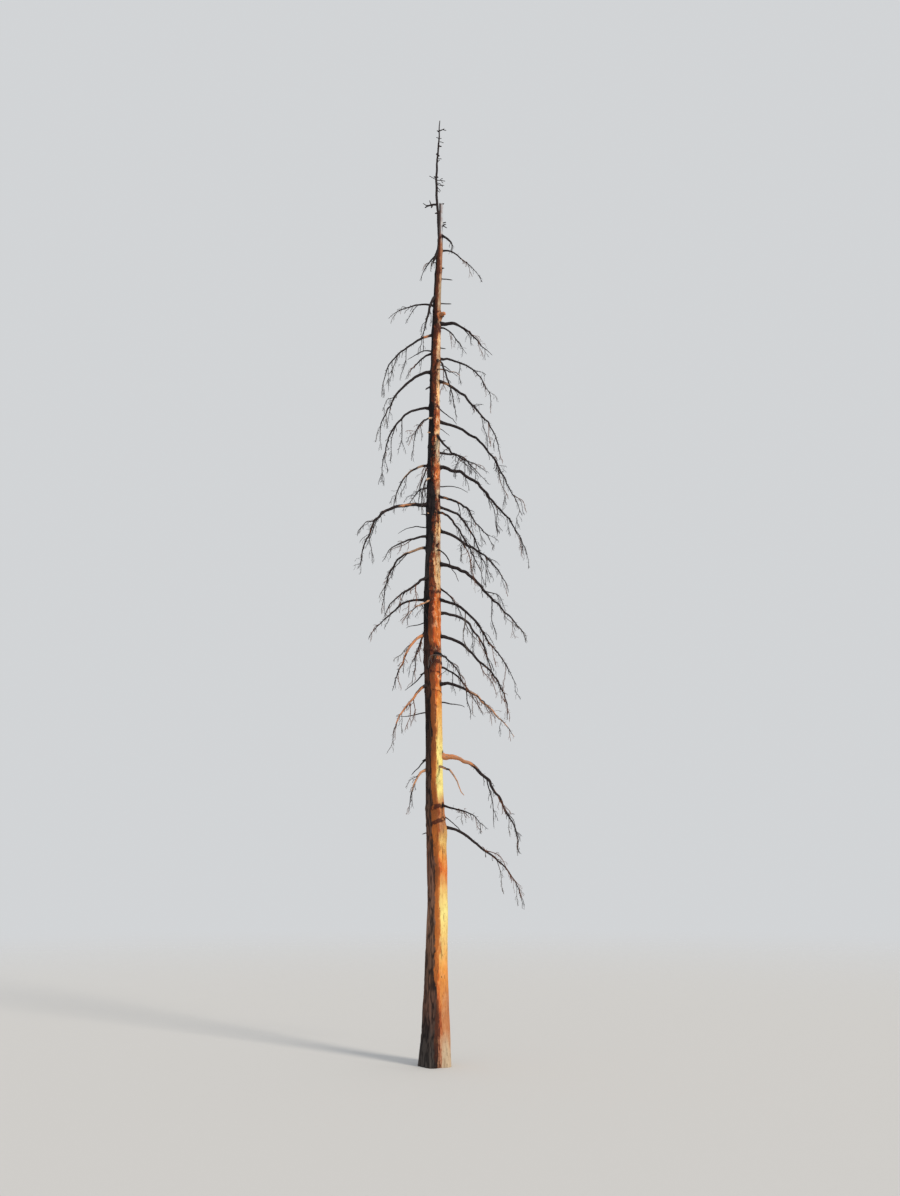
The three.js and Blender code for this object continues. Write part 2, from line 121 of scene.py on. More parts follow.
SCARS = (  # height, heading, half width, half height and depth of old seams in the bare wood
    (3.8, 303, 0.008, 0.17, 0.008), (5.45, 300, 0.007, 0.1, 0.006), (5.1, 306, 0.006, 0.07, 0.006),
    (1.95, 300, 0.007, 0.12, 0.006), (2.6, 312, 0.006, 0.08, 0.005), (8.3, 290, 0.007, 0.12, 0.006),
    (13.6, 300, 0.006, 0.1, 0.005),
)
SCAR_SWAY, SCAR_WAVES = 4, 9
BARK_THICKNESS = ((0, 0.014), (6, 0.01), (12, 0.006), (18, 0.003))  # height and thickness
INNER_BARK_THICKNESS = 0.003
FURROW_WIDTH, FURROW_LENGTH, FURROW_BANKS = 0.05, 0.3, (0.7, 0.97)
PLATE_WIDTH, PLATE_LENGTH = 0.07, 0.11
PLATE_FULL, PLATE_FURROWED, PLATE_WORN = 1.2, 0.8, 0.35
GRAIN_WIDTH, GRAIN_LENGTH, GRAIN_DEPTH = 0.028, 0.7, 0.007
GRAIN_TWIST = math.radians(5)
LUMP_WIDTH, LUMP_LENGTH, LUMP_DEPTH = 0.16, 0.5, 0.02
HEART_OF_BARK = 60
BARK_LIP, BARK_BORDER = (-0.25, 0.35), (-0.1, 0.2)
INNER_LIP, INNER_BORDER = (-0.2, 0.3), (-0.1, 0.25)
PATCH_SEED, RING_SEED, GAP_SEED, FURROW_SEED, PLATE_SEED = 21, 25, 27, 31, 41
GRAIN_SEED, LUMP_SEED, COLOR_SEED, SNAP_SEED = 51, 61, 65, 71
SWELLINGS = (  # height, heading, how far it stands out, and its half width and half height
    (4.15, 345, 0.03, 0.2, 0.17),
    (4.5, 230, 0.018, 0.16, 0.12),
    (8.4, 300, 0.012, 0.2, 0.25),
    (12.75, 330, 0.012, 0.09, 0.11),
    (13.02, 310, 0.01, 0.08, 0.08),
    (12.47, 335, 0.01, 0.07, 0.07),
    (15.06, 350, 0.04, 0.05, 0.08),
)
SNAP_DEPTH, SNAP_WAVES, SNAP_HEIGHTS = 0.16, 4, (17.5, 17.9)
BITS = 0xFFFFFFFF


def lattice(x, y, z, seed):
    """A repeatable value between 0 and 1 for each whole place of a grid."""
    bits = (x * 374761393 + y * 668265263 + z * 1274126177 + seed * 1103515245) & BITS
    bits = ((bits ^ (bits >> 13)) * 1274126177) & BITS
    return (bits ^ (bits >> 16)) / 2**32


def noise(x, y, z, seed):
    """Smooth seeded noise from 0 to 1, with cells of length 1."""
    cells = [np.floor(v).astype(np.int64) for v in (x, y, z)]
    eased = [(v - c) ** 2 * (3 - 2 * (v - c)) for v, c in zip((x, y, z), cells)]
    total = 0
    for corner in range(8):
        steps = (corner & 1, corner >> 1 & 1, corner >> 2 & 1)
        weight = 1
        for step, ease in zip(steps, eased):
            weight = weight * (ease if step else 1 - ease)
        total = total + weight * lattice(*[c + s for c, s in zip(cells, steps)], seed)
    return total


def layered(x, y, z, seed, layers=3):
    """Noise with finer and weaker noise added to it, still from 0 to 1."""
    total = sum(noise(x * 2**i, y * 2**i, z * 2**i, seed + i) / 2**i for i in range(layers))
    return total / sum(1 / 2**i for i in range(layers))


def eased_step(low, high, value):
    """0 below low and 1 above high, with a soft rise between them."""
    share = np.clip((value - low) / (high - low), 0, 1)
    return share * share * (3 - 2 * share)


def along(table, up, column=1):
    """A column of a table of heights, straight between its rows."""
    rows = np.array(table, float)
    return np.interp(up, rows[:, 0], rows[:, column])


def stem_at(stations, up):
    """Width and middle of an upright stem at each height, with the corners of its stations eased."""
    offsets = np.linspace(-STATION_EASE, STATION_EASE, 9)
    width = np.mean([along(stations, up + offset, 1) for offset in offsets], axis=0)
    aside = np.mean([along(stations, up + offset, 2) for offset in offsets], axis=0)
    return width, aside


LIMBS = (  # height, heading, length, slope at the root and at the tip, width, and 1 where stout
    (4.25, 10, 2.4, 8, -62, 0.048, 1),
    (4.68, 325, 1.4, 5, -38, 0.036, 0),
    (5.38, 205, 1.1, 0, -85, 0.042, 0),
    (5.6, 350, 2.6, 22, -84, 0.066, 1),
    (6.3, 95, 1.8, 5, -60, 0.044, 0),
    (7, 330, 2.1, 20, -65, 0.054, 0),
    (7.1, 215, 1.7, -20, -90, 0.048, 0),
    (7.35, 40, 1.6, 20, -60, 0.036, 0),
    (7.65, 298, 2, 5, -65, 0.038, 0),
    (8, 0, 2.4, 15, -80, 0.054, 1),
    (8.1, 205, 1.6, -15, -80, 0.052, 0),
    (8.3, 105, 1.8, 10, -65, 0.046, 0),
    (8.45, 30, 2.2, 30, -75, 0.052, 0),
    (8.75, 175, 1.6, 10, -65, 0.044, 0),
    (8.75, 245, 1.3, 0, -45, 0.038, 0),
    (8.8, 340, 2.65, -15, -67, 0.05, 0),
    (9, 25, 1.1, 12, -60, 0.034, 0),
    (9.3, 215, 1.7, -20, -60, 0.052, 0),
    (9.5, 355, 2.6, 6, -62, 0.064, 1),
    (9.8, 170, 1.95, 26, -92, 0.046, 0),
    (10.1, 200, 1.3, 0, -55, 0.042, 0),
    (10.25, 10, 2.1, 5, -78, 0.054, 0),
    (10.65, 310, 2.4, -12, -70, 0.042, 0),
    (10.75, 30, 2.2, 10, -80, 0.046, 0),
    (10.75, 180, 2.35, 17, -88, 0.066, 1),
    (11, 330, 2.1, -20, -70, 0.046, 0),
    (11.1, 120, 1.3, 30, -25, 0.034, 0),
    (11.35, 238, 1.15, 0, -110, 0.034, 0),
    (11.58, 355, 2.85, 12, -74, 0.062, 1),
    (11.6, 160, 1.5, 35, -90, 0.042, 0),
    (11.9, 50, 1.8, 25, -35, 0.042, 0),
    (12.1, 100, 1.7, 10, -60, 0.04, 0),
    (12.4, 310, 2.3, -45, -45, 0.042, 0),
    (12.65, 5, 2.95, -5, -76, 0.054, 1),
    (12.7, 240, 1.6, -5, -95, 0.036, 0),
    (12.9, 185, 2.3, 22, -106, 0.046, 0),
    (13.55, 345, 2.45, -10, -80, 0.052, 1),
    (13.75, 170, 2.1, 15, -90, 0.054, 1),
    (14.05, 300, 1.9, -25, -80, 0.038, 0),
    (14.05, 20, 1.9, 35, -85, 0.042, 0),
    (14.2, 168, 0.9, 12, -60, 0.036, 0),
    (14.8, 35, 1, 35, -50, 0.032, 0),
    (14.65, 190, 2, -12, -92, 0.044, 0),
    (14.9, 350, 1.5, 5, -56, 0.052, 0),
    (15.3, 195, 1.2, 35, -60, 0.036, 0),
    (15.6, 228, 1.6, -45, -80, 0.036, 0),
    (16.65, 15, 1.25, 38, -62, 0.032, 0),
    (16.6, 165, 0.75, -5, -70, 0.03, 0),
    (16.75, 230, 0.7, -45, -80, 0.038, 0),
    (17.05, 320, 0.65, -10, -110, 0.034, 0),
)
STUBS = (  # height, heading, length, slope and width
    (4.2, 190, 0.3, -15, 0.026), (5.65, 165, 0.28, -25, 0.038), (7.35, 160, 0.3, -20, 0.036),
    (9.85, 300, 0.25, 5, 0.034), (10.55, 185, 0.26, 5, 0.03), (12.2, 0, 0.26, 0, 0.032),
    (13.15, 60, 0.22, 10, 0.03), (13.5, 215, 0.3, -45, 0.046), (14.35, 350, 0.22, -10, 0.028),
    (15.15, 340, 0.2, -35, 0.044), (15.4, 10, 0.33, 0, 0.03), (16, 0, 0.32, -8, 0.03),
    (16.35, 200, 0.2, 10, 0.024),
)


def bark_cover(angle, up):
    """How far inside thick bark and thin inner bark a place lies (over 0 is bark, under 0 is bare), and how
    far bare wood there is painted as sunlit rather than shaded.
    """
    away = np.abs((np.degrees(angle) - BARK_HEADING + 180) % 360 - 180)
    x, y = np.cos(angle), np.sin(angle)
    edge = along(BARK_HALF_WIDTH, up)
    for wander, waves, height, seed in BARK_RAGS:
        edge = edge + wander * (layered(waves * x, waves * y, up / height, seed) - 0.5)
    patch = layered(PATCH_WAVES * x, PATCH_WAVES * y, up / PATCH_HEIGHT, PATCH_SEED, 4)
    lee = INNER_LEE * ((away - edge) / 90 - 0.5)
    inner = (patch - PATCH_LEVEL + (PATCH_GAIN - lee) * along(BARK_PATCHES, up)) / PATCH_EDGE
    # Painted sunlight and shade: 0 where the bare wood is painted as in shade, 1 where it is painted as
    # sunlit.
    sunny = np.clip((away - along(SUN_SIDE, up)) / SUN_SIDE_BLEND + 0.5, 0, 1)
    return (edge - away) / BARK_EDGE, inner, sunny


def painted(table, up):
    """The colour of a table of heights at each height, turning evenly from one row into the next."""
    heights = [row[0] for row in table]
    channels = [np.interp(up, heights, [row[1][i] for row in table]) for i in range(3)]
    return np.stack([*channels, np.ones_like(up)], -1)


def nearness(angle, up, radius, heading, root, half_width, half_height):
    """1 at a place on the trunk, falling softly to 0 away from it."""
    sideways = (angle - np.radians(heading) + math.pi) % (2 * math.pi) - math.pi
    return np.exp(-((radius * sideways / half_width) ** 2) - ((up - root) / half_height) ** 2)


def trunk_surface(angle, up):
    """The trunk's radius at each angle and height, its middle, and what its finish needs to know."""
    width, aside = stem_at(TRUNK_STATIONS, up)
    lobes = FLARE_DEPTH * np.exp(-up / FLARE_FADES) * np.cos(FLARE_LOBES * (angle + FLARE_TURN))
    radius = width / 2 * (1 + lobes)
    collar, swollen = np.zeros_like(up), np.zeros_like(up)
    roots = [(limb[0], limb[1], limb[3], limb[5]) for limb in LIMBS]
    roots += [stub[:2] + stub[3:] for stub in STUBS]
    for root, heading, slope, girth in roots:
        leaves = root + float(along(TRUNK_STATIONS, root)) / 2 * math.tan(math.radians(slope))
        middle = leaves - COLLAR_DROP * girth
        near = nearness(angle, up, radius, heading, middle, COLLAR_WIDTH * girth, COLLAR_HEIGHT * girth)
        collar = np.maximum(collar, near)
        swollen += COLLAR_SWELL * girth * near
    for root, heading, out, half_width, half_height in SWELLINGS:
        swollen += out * nearness(angle, up, radius, heading, root, half_width, half_height)
    ring = np.zeros_like(up)
    for root, half_height, strength, rise in RINGS:
        sag = RING_SAG * (np.cos(angle - math.radians(270) + root) - 1) + rise * np.cos(angle)
        bumps = layered(3 * np.cos(angle), 3 * np.sin(angle), 0 * up + root, RING_SEED) - 0.5
        away = (up - root - sag - RING_WANDER * bumps) / half_height
        ring = np.maximum(ring, strength * np.exp(-(away**2)))
    broken = layered(4 * np.cos(angle), 4 * np.sin(angle), up / RING_GAP_HEIGHT, GAP_SEED)
    ring = ring * eased_step(*RING_GAPS, broken)
    swollen += RING_SWELL * ring
    scar = np.zeros_like(up)
    for root, heading, half_width, half_height, depth in SCARS:
        swaying = heading + SCAR_SWAY * np.sin(up * SCAR_WAVES)
        near = nearness(angle, up, radius, swaying, root, half_width, half_height)
        scar = np.maximum(scar, near)
        swollen -= depth * near
    turned = angle + GRAIN_TWIST * up
    x, y = radius * np.cos(turned), radius * np.sin(turned)
    side, inner, sunny = bark_cover(angle, up)

    def in_grain(wide, long, seed, layers=2):
        """Noise in cells that are drawn out along the twisted grain."""
        return layered(x / wide, y / wide, up / long, seed, layers)

    furrow = 1 - np.abs(2 * in_grain(FURROW_WIDTH, FURROW_LENGTH, FURROW_SEED, 3) - 1)
    deep = eased_step(*FURROW_BANKS, furrow)
    plates = in_grain(PLATE_WIDTH, PLATE_LENGTH, PLATE_SEED, 1)
    worn = PLATE_FULL - PLATE_FURROWED * deep - PLATE_WORN * plates
    thick = eased_step(*BARK_LIP, side) * along(BARK_THICKNESS, up) * worn
    thin = eased_step(*INNER_LIP, inner) * INNER_BARK_THICKNESS
    grain = in_grain(GRAIN_WIDTH, GRAIN_LENGTH, GRAIN_SEED) - 0.5
    lumps = in_grain(LUMP_WIDTH, LUMP_LENGTH, LUMP_SEED) - 0.5
    relief = (GRAIN_DEPTH * grain + LUMP_DEPTH * lumps) * width / TRUNK_STATIONS[3][1]
    blurred = up + COLOR_WANDER * (in_grain(COLOR_WANDER_WIDTH, COLOR_WANDER_LENGTH, COLOR_SEED, 3) - 0.5)
    return radius + swollen + np.maximum(thick, thin) + relief, aside, {
        "bark": eased_step(*BARK_BORDER, side), "inner": eased_step(*INNER_BORDER, inner), "sunny": sunny,
        "heart": np.clip(side * BARK_EDGE / HEART_OF_BARK, 0, 1), "deep": deep,
        "collar": collar, "ring": ring, "scar": scar, "mottle": along(MOTTLES, up),
        "sunlit_wood": painted(SUNLIT_WOOD, blurred), "shaded_wood": painted(SHADED_WOOD, blurred),
        "thick_bark": painted(THICK_BARK, blurred),
    }


def closed_skin(name, rings, attributes):
    """A closed mesh over rings of points, with a flat fan over its foot and its top."""
    rows, sides, _ = rings.shape
    points = np.concatenate([rings.reshape(-1, 3), [rings[0].mean(0)], [rings[-1].mean(0)]])
    here = np.arange(rows * sides).reshape(rows, sides)
    after = np.roll(here, -1, axis=1)
    quads = np.stack([here[:-1], after[:-1], after[1:], here[1:]], -1).reshape(-1, 4)
    foot, top = rows * sides, rows * sides + 1
    fans = [(foot, int(b), int(a)) for a, b in zip(here[0], after[0])]
    fans += [(top, int(a), int(b)) for a, b in zip(here[-1], after[-1])]
    mesh = bpy.data.meshes.new(name)
    mesh.from_pydata(points.tolist(), [], quads.tolist() + fans)
    for key, values in attributes.items():
        kind, field = ("FLOAT_COLOR", "color") if values.ndim == 3 else ("FLOAT", "value")
        columns = values.reshape(rows * sides, -1)
        spread = np.concatenate([columns, [columns[:sides].mean(0), columns[-sides:].mean(0)]])
        mesh.attributes.new(key, kind, "POINT").data.foreach_set(field, spread.ravel().astype(np.float32))
    mesh.shade_smooth()
    piece = bpy.data.objects.new(name, mesh)
    bpy.context.scene.collection.objects.link(piece)
    return piece


class Socket:
    """A node's socket that Python's own signs work on: each sign adds one Math node."""

    def __init__(self, nodes, socket):
        self.nodes = nodes
        self.socket = socket

    def math(self, operation, *values):
        return self.nodes.add("ShaderNodeMath", {"operation": operation}, dict(enumerate(values)))

    def __add__(self, other):
        return self.math("ADD", self, other)

    def __radd__(self, other):
        return self.math("ADD", other, self)

    def __sub__(self, other):
        return self.math("SUBTRACT", self, other)

    def __rsub__(self, other):
        return self.math("SUBTRACT", other, self)

    def __mul__(self, other):
        return self.math("MULTIPLY", self, other)

    def __rmul__(self, other):
        return self.math("MULTIPLY", other, self)

    def __truediv__(self, other):
        return self.math("DIVIDE", self, other)

    def __rtruediv__(self, other):
        return self.math("DIVIDE", other, self)

    def between(self, low, high):
        """0 below low and 1 above high, with a soft rise between them."""
        values = {"Value": self, "From Min": low, "From Max": high}
        return self.nodes.add("ShaderNodeMapRange", {"interpolation_type": "SMOOTHSTEP"}, values)


class Nodes:
    """A node tree that grows by one node at a time."""

    def __init__(self, tree):
        self.tree = tree

    def add(self, kind, settings=None, values=None, output=0):
        """A new node, its settings set first and then the values or links of its sockets."""
        node = self.tree.nodes.new(kind)
        for key, value in (settings or {}).items():
            setattr(node, key, value)
        for key, value in (values or {}).items():
            self.plug(self.find(node.inputs, key), value)
        return Socket(self, self.find(node.outputs, output)) if node.outputs else None

    def find(self, sockets, key):
        shown = [socket for socket in sockets if socket.enabled]
        if isinstance(key, int):
            return shown[key]
        return next(socket for socket in shown if socket.name == key)

    def plug(self, socket, value):
        if isinstance(value, Socket):
            self.tree.links.new(value.socket, socket)
        else:
            socket.default_value = value

    def mix(self, share, color_a, color_b, blend="MIX"):
        """One colour that turns into another; each is a socket or three numbers."""
        ends = [color if isinstance(color, Socket) else (*color, 1) for color in (color_a, color_b)]
        values = {"Factor": share, "A": ends[0], "B": ends[1]}
        return self.add("ShaderNodeMix", {"data_type": "RGBA", "blend_type": blend}, values, "Result")

    def tinted(self, share, color, tint):
        """A colour that is multiplied by a tint for a share."""
        return self.mix(share, color, tint, "MULTIPLY")

    def speckle(self, place, scale, detail=3, roughness=0.55):
        """Noise from 0 to 1 over a place, with a number of cells per metre along each axis."""
        stretched = self.add("ShaderNodeVectorMath", {"operation": "MULTIPLY"}, {0: place, 1: scale})
        values = {"Vector": stretched, "Scale": 1, "Detail": detail, "Roughness": roughness}
        return self.add("ShaderNodeTexNoise", {}, values)

    def attribute(self, name, output="Fac"):
        return self.add("ShaderNodeAttribute", {"attribute_name": name}, {}, output)

    def end(self, values, bump=None):
        """The material's one shader, dull as dead wood, with a bump where heights are given."""
        values["Specular IOR Level"] = DULL_SHINE
        if bump:
            values["Normal"] = self.add("ShaderNodeBump", {}, bump)
        shader = self.add("ShaderNodeBsdfPrincipled", {}, values)
        self.add("ShaderNodeOutputMaterial", {}, {"Surface": shader})


def new_finish(name):
    """A material with an empty node tree."""
    finish = bpy.data.materials.new(name)
    finish.use_nodes = True
    finish.node_tree.nodes.clear()
    return finish, Nodes(finish.node_tree)


DULL_SHINE = 0.12
COLOR_WANDER, COLOR_WANDER_WIDTH, COLOR_WANDER_LENGTH = 0.5, 0.1, 0.4
GOLD = (0.78, 0.69, 0.24)
HONEY = (0.7, 0.46, 0.15)
ORANGE = (0.68, 0.27, 0.055)
RED_ORANGE = (0.58, 0.15, 0.03)
RUSSET = (0.42, 0.17, 0.07)
BUTTER = (0.84, 0.52, 0.24)
CREAM = (0.66, 0.4, 0.2)
BUFF = (0.32, 0.23, 0.15)
TAN = (0.42, 0.27, 0.16)
PALE = (0.46, 0.36, 0.25)
RED_BROWN = (0.3, 0.14, 0.08)
DARK_RED = (0.12, 0.045, 0.03)
SILVER = (0.43, 0.46, 0.5)
ASHEN = (0.13, 0.125, 0.13)
SUNLIT_WOOD = (  # height, and the colour of bare wood painted as lit by a low golden sun, with bands of painted shade under some whorls
    (0, PALE), (0.15, PALE), (0.7, RUSSET), (1, RUSSET), (1.6, ORANGE), (2.1, HONEY), (2.7, GOLD),
    (3.1, HONEY), (3.4, RED_ORANGE), (3.7, ORANGE), (4, HONEY), (4.3, RUSSET), (4.7, RUSSET), (5, GOLD),
    (5.7, GOLD), (6.2, HONEY), (6.7, ORANGE), (7.2, RED_ORANGE), (7.5, RUSSET), (7.7, DARK_RED),
    (7.85, RED_ORANGE), (8.8, RED_ORANGE), (9, CREAM), (9.25, BUTTER), (9.4, BUTTER), (9.65, CREAM),
    (9.9, PALE), (10.15, BUTTER), (10.3, BUTTER), (10.5, CREAM), (10.8, RED_BROWN), (11.1, BUFF),
    (11.4, RED_ORANGE), (11.6, RUSSET), (11.8, PALE), (12.05, PALE), (12.25, BUTTER), (12.4, CREAM),
    (12.55, RED_ORANGE), (12.9, RUSSET), (13.2, BUTTER), (13.4, BUTTER), (13.7, TAN), (14.1, TAN),
    (14.5, CREAM), (14.75, DARK_RED), (14.9, DARK_RED), (15.1, RUSSET), (15.35, BUFF), (15.8, BUFF),
    (16.2, RED_BROWN), (16.9, RED_BROWN), (17.15, SILVER), (18, SILVER),
)
# Colours of painted shade on bare wood turning away from the sun, from half shade to deep shade.
HALF_SHADE_RED = (0.4, 0.12, 0.025)
SHADE_RED = (0.2, 0.06, 0.018)
SHADE_BROWN = (0.06, 0.02, 0.012)
SHADE_BLACK = (0.014, 0.007, 0.006)
SHADED_WOOD = (  # height, and the colour of bare wood beside the bark, painted as in shade where it turns away from the sun
    (0, SHADE_BLACK), (0.5, SHADE_BROWN), (0.9, SHADE_BROWN), (1.3, SHADE_RED), (1.8, HALF_SHADE_RED), (3.1, HALF_SHADE_RED), (3.4, SHADE_RED),
    (4.1, HALF_SHADE_RED), (4.6, SHADE_RED), (5.2, HALF_SHADE_RED), (5.7, SHADE_RED), (7, SHADE_RED), (7.4, SHADE_BROWN), (7.7, SHADE_BLACK), (8, SHADE_RED),
    (8.4, SHADE_BROWN), (9.9, SHADE_BROWN), (10.2, SHADE_BLACK), (11.4, SHADE_BLACK), (11.6, SHADE_BROWN), (11.8, SHADE_BLACK), (12.8, SHADE_BLACK),
    (13.2, SHADE_BROWN), (14.6, SHADE_BROWN), (14.8, SHADE_BLACK), (15.1, SHADE_BLACK), (15.4, SHADE_BROWN), (17, SHADE_BROWN), (17.3, ASHEN),
    (18, ASHEN),
)
THICK_BARK = (  # height, and the colour of the thick bark that still clings
    (0, (0.07, 0.06, 0.055)), (0.6, (0.06, 0.045, 0.04)), (1, (0.14, 0.07, 0.05)),
    (1.7, (0.13, 0.07, 0.045)), (2.6, (0.24, 0.13, 0.085)), (3.4, (0.19, 0.09, 0.06)),
    (4, (0.22, 0.1, 0.06)), (4.6, (0.12, 0.065, 0.045)), (5.2, (0.07, 0.04, 0.03)),
    (6, (0.045, 0.025, 0.018)), (7.2, (0.07, 0.035, 0.025)), (8, (0.04, 0.02, 0.018)),
    (8.5, (0.014, 0.011, 0.012)), (9.3, (0.04, 0.034, 0.032)), (10, (0.022, 0.017, 0.018)),
    (13, (0.018, 0.014, 0.016)), (13.7, (0.05, 0.04, 0.04)), (14.3, (0.02, 0.015, 0.017)),
    (15.5, (0.025, 0.012, 0.01)), (18, (0.06, 0.05, 0.045)),
)
INNER_BARK = (0.16, 0.04, 0.018)
INNER_BARK_DARK = (0.03, 0.013, 0.01)
RED_FLAKES = (0.2, 0.045, 0.018)
PALE_SUNLIT_FLAKES = (0.8, 0.6, 0.38)
COLLAR_DARK = (0.045, 0.012, 0.009)
# Painted shade: the sunlit wood is multiplied by this tint as it turns toward the shaded side.
SHADE_SIDE_TINT = (0.85, 0.5, 0.4)
GRAIN_TINT = (0.4, 0.28, 0.24)
CRACK_DARK = (0.09, 0.045, 0.02)
ASH_GREY = (0.1, 0.09, 0.088)
CHAR = (0.008, 0.007, 0.008)

trunk_finish, nodes = new_finish("trunk_wood")
place = nodes.add("ShaderNodeTexCoord", {}, {}, "Object")
drift = nodes.speckle(place, (6, 6, 1.1), 3) - 0.5
streaks = nodes.speckle(place, (30, 30, 2.6), 5, 0.7)
fine_streaks = nodes.speckle(place, (110, 110, 6), 3)
flecks = nodes.speckle(place, (42, 42, 15), 3)
dashes = nodes.speckle(place, (42, 42, 8), 3, 0.6)
flakes = nodes.speckle(place, (26, 26, 14), 5, 0.65)
blotches = nodes.speckle(place, (14, 14, 7), 5, 0.7)
mottle = nodes.attribute("mottle")
sunny = nodes.attribute("sunny")
# Painted sunlight and shade: the bare wood turns from its painted shaded colour to its painted sunlit
# colour with the sunny share, broken up by noise.
turned = sunny + drift * 0.5 + (streaks - 0.5) * 1.1 + (blotches - 0.5) * (0.4 + mottle)
sunlit_wood = nodes.attribute("sunlit_wood", "Color")
turning = nodes.tinted((1 - turned).between(0.3, 0.45), sunlit_wood, SHADE_SIDE_TINT)
wood = nodes.mix(turned.between(0.34, 0.56), nodes.attribute("shaded_wood", "Color"), turning)
wood = nodes.tinted((1 - streaks).between(0.54, 0.64) * 0.5, wood, GRAIN_TINT)
wood = nodes.tinted(fine_streaks.between(0.55, 0.7) * 0.45, wood, GRAIN_TINT)
wood = nodes.mix((1 - blotches).between(0.52, 0.57) * mottle * 0.8, wood, RED_FLAKES)
wood = nodes.mix(flakes.between(0.56, 0.6) * mottle * 0.6, wood, RED_FLAKES)
# Pale blotches kept to the side painted as sunlit: partly the wood's own pale flakes and partly painted
# sunlight.
wood = nodes.mix(blotches.between(0.54, 0.59) * mottle * sunny * 0.8, wood, PALE_SUNLIT_FLAKES)
wood = nodes.mix(dashes.between(0.62, 0.66) * 0.85, wood, CRACK_DARK)
inner = nodes.mix(flecks.between(0.4, 0.6), INNER_BARK, INNER_BARK_DARK)
wood = nodes.mix(nodes.attribute("inner"), wood, inner)
wood = nodes.mix(nodes.attribute("collar").between(0.2, 0.7) * 0.85, wood, COLLAR_DARK)
# Dark rings round the whorls: partly dark wood and partly painted shade under the whorls' limbs.
ringed = nodes.attribute("ring") + flakes * 0.5 - 0.25
wood = nodes.mix(ringed.between(0.3, 0.7) * 0.9, wood, COLLAR_DARK)
wood = nodes.mix(nodes.attribute("scar").between(0.2, 0.7) * 0.9, wood, CRACK_DARK)
bark = nodes.mix(flecks.between(0.5, 0.75) * 0.3, nodes.attribute("thick_bark", "Color"), ASH_GREY)
bark = nodes.mix(nodes.attribute("deep") * 0.8, bark, CHAR)
bark = nodes.mix((1 - nodes.attribute("heart").between(0, 0.3)) * 0.5, bark, CHAR)
barked = nodes.attribute("bark")
nodes.end(
    {"Base Color": nodes.mix(barked, wood, bark), "Roughness": 0.72 + 0.2 * barked},
    {"Height": streaks * 0.6 + fine_streaks * 0.3 + flecks * barked, "Strength": 0.5, "Distance": 0.006},
)

for name, foot, top, sides, rows in TRUNK_PIECES:
    angle, up = np.meshgrid(np.arange(sides) * 2 * math.pi / sides, np.linspace(foot, top, rows + 1))
    radius, aside, marks = trunk_surface(angle, up)
    splinters = noise(SNAP_WAVES * np.cos(angle), SNAP_WAVES * np.sin(angle), 0 * up, SNAP_SEED)
    snapped = SNAP_DEPTH * splinters * eased_step(*SNAP_HEIGHTS, up)
    rings = np.stack([aside + radius * np.cos(angle), radius * np.sin(angle), up - snapped], -1)
    trunk_piece = closed_skin(name, rings, marks)
    trunk_piece.data.materials.append(trunk_finish)
    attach(trunk_piece, "root")
    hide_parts("trunk")

# Limbs: dead side branches, each one stem of hard dark wood that grew out of the heart of the trunk
# and sagged in a long arch. The stout ones are the main boughs. Fire left them nearly black, and that
# near-black is partly painted shade; where their bark has dropped off the wood is bare and orange to
# grey, the orange partly painted sunlight.
LIMB_RULE = {"knots": 8, "bend": 0.7, "waver": 7, "taper": 0.84}
LIMB_SEEDS = 77
LEAST_GIRTH = 0.007
DRAW_TURN_CYCLES, DRAW_SLOPE_CYCLES, DRAW_TURN_START, DRAW_SLOPE_START = 1, 2, 3, 4
WAVER_CYCLES = (0.8, 1.6)
LIMB_STEP = 0.03
CROOK_LENGTH, CROOK_SHARE, CROOK_LANES = 0.2, 0.55, 997
ROOT_FLARE, ROOT_FLARE_LENGTH = 0.5, 0.07


def draw(seed):
    """A repeatable draw between 0 and 1 for any whole number."""
    bits = ((seed ^ (seed >> 15)) * 0x2C1B3C6D) & BITS
    bits = ((bits ^ (bits >> 12)) * 0x297A2D39) & BITS
    return (bits ^ (bits >> 15)) / 2**32


def offspring(seed, index):
    """The seed of one of a branch's children, or of one of its draws."""
    return (seed * 7919 + (index + 1) * 104729) & BITS


def pick(seed, index, ends):
    """One seeded draw between two ends."""
    return ends[0] + (ends[1] - ends[0]) * draw(offspring(seed, index))


def direction(heading, slope):
    """Steps of length 1 along headings and slopes."""
    turn, tilt = np.radians(heading), np.radians(slope)
    return np.stack([np.cos(tilt) * np.cos(turn), np.cos(tilt) * np.sin(turn), np.sin(tilt)], -1)


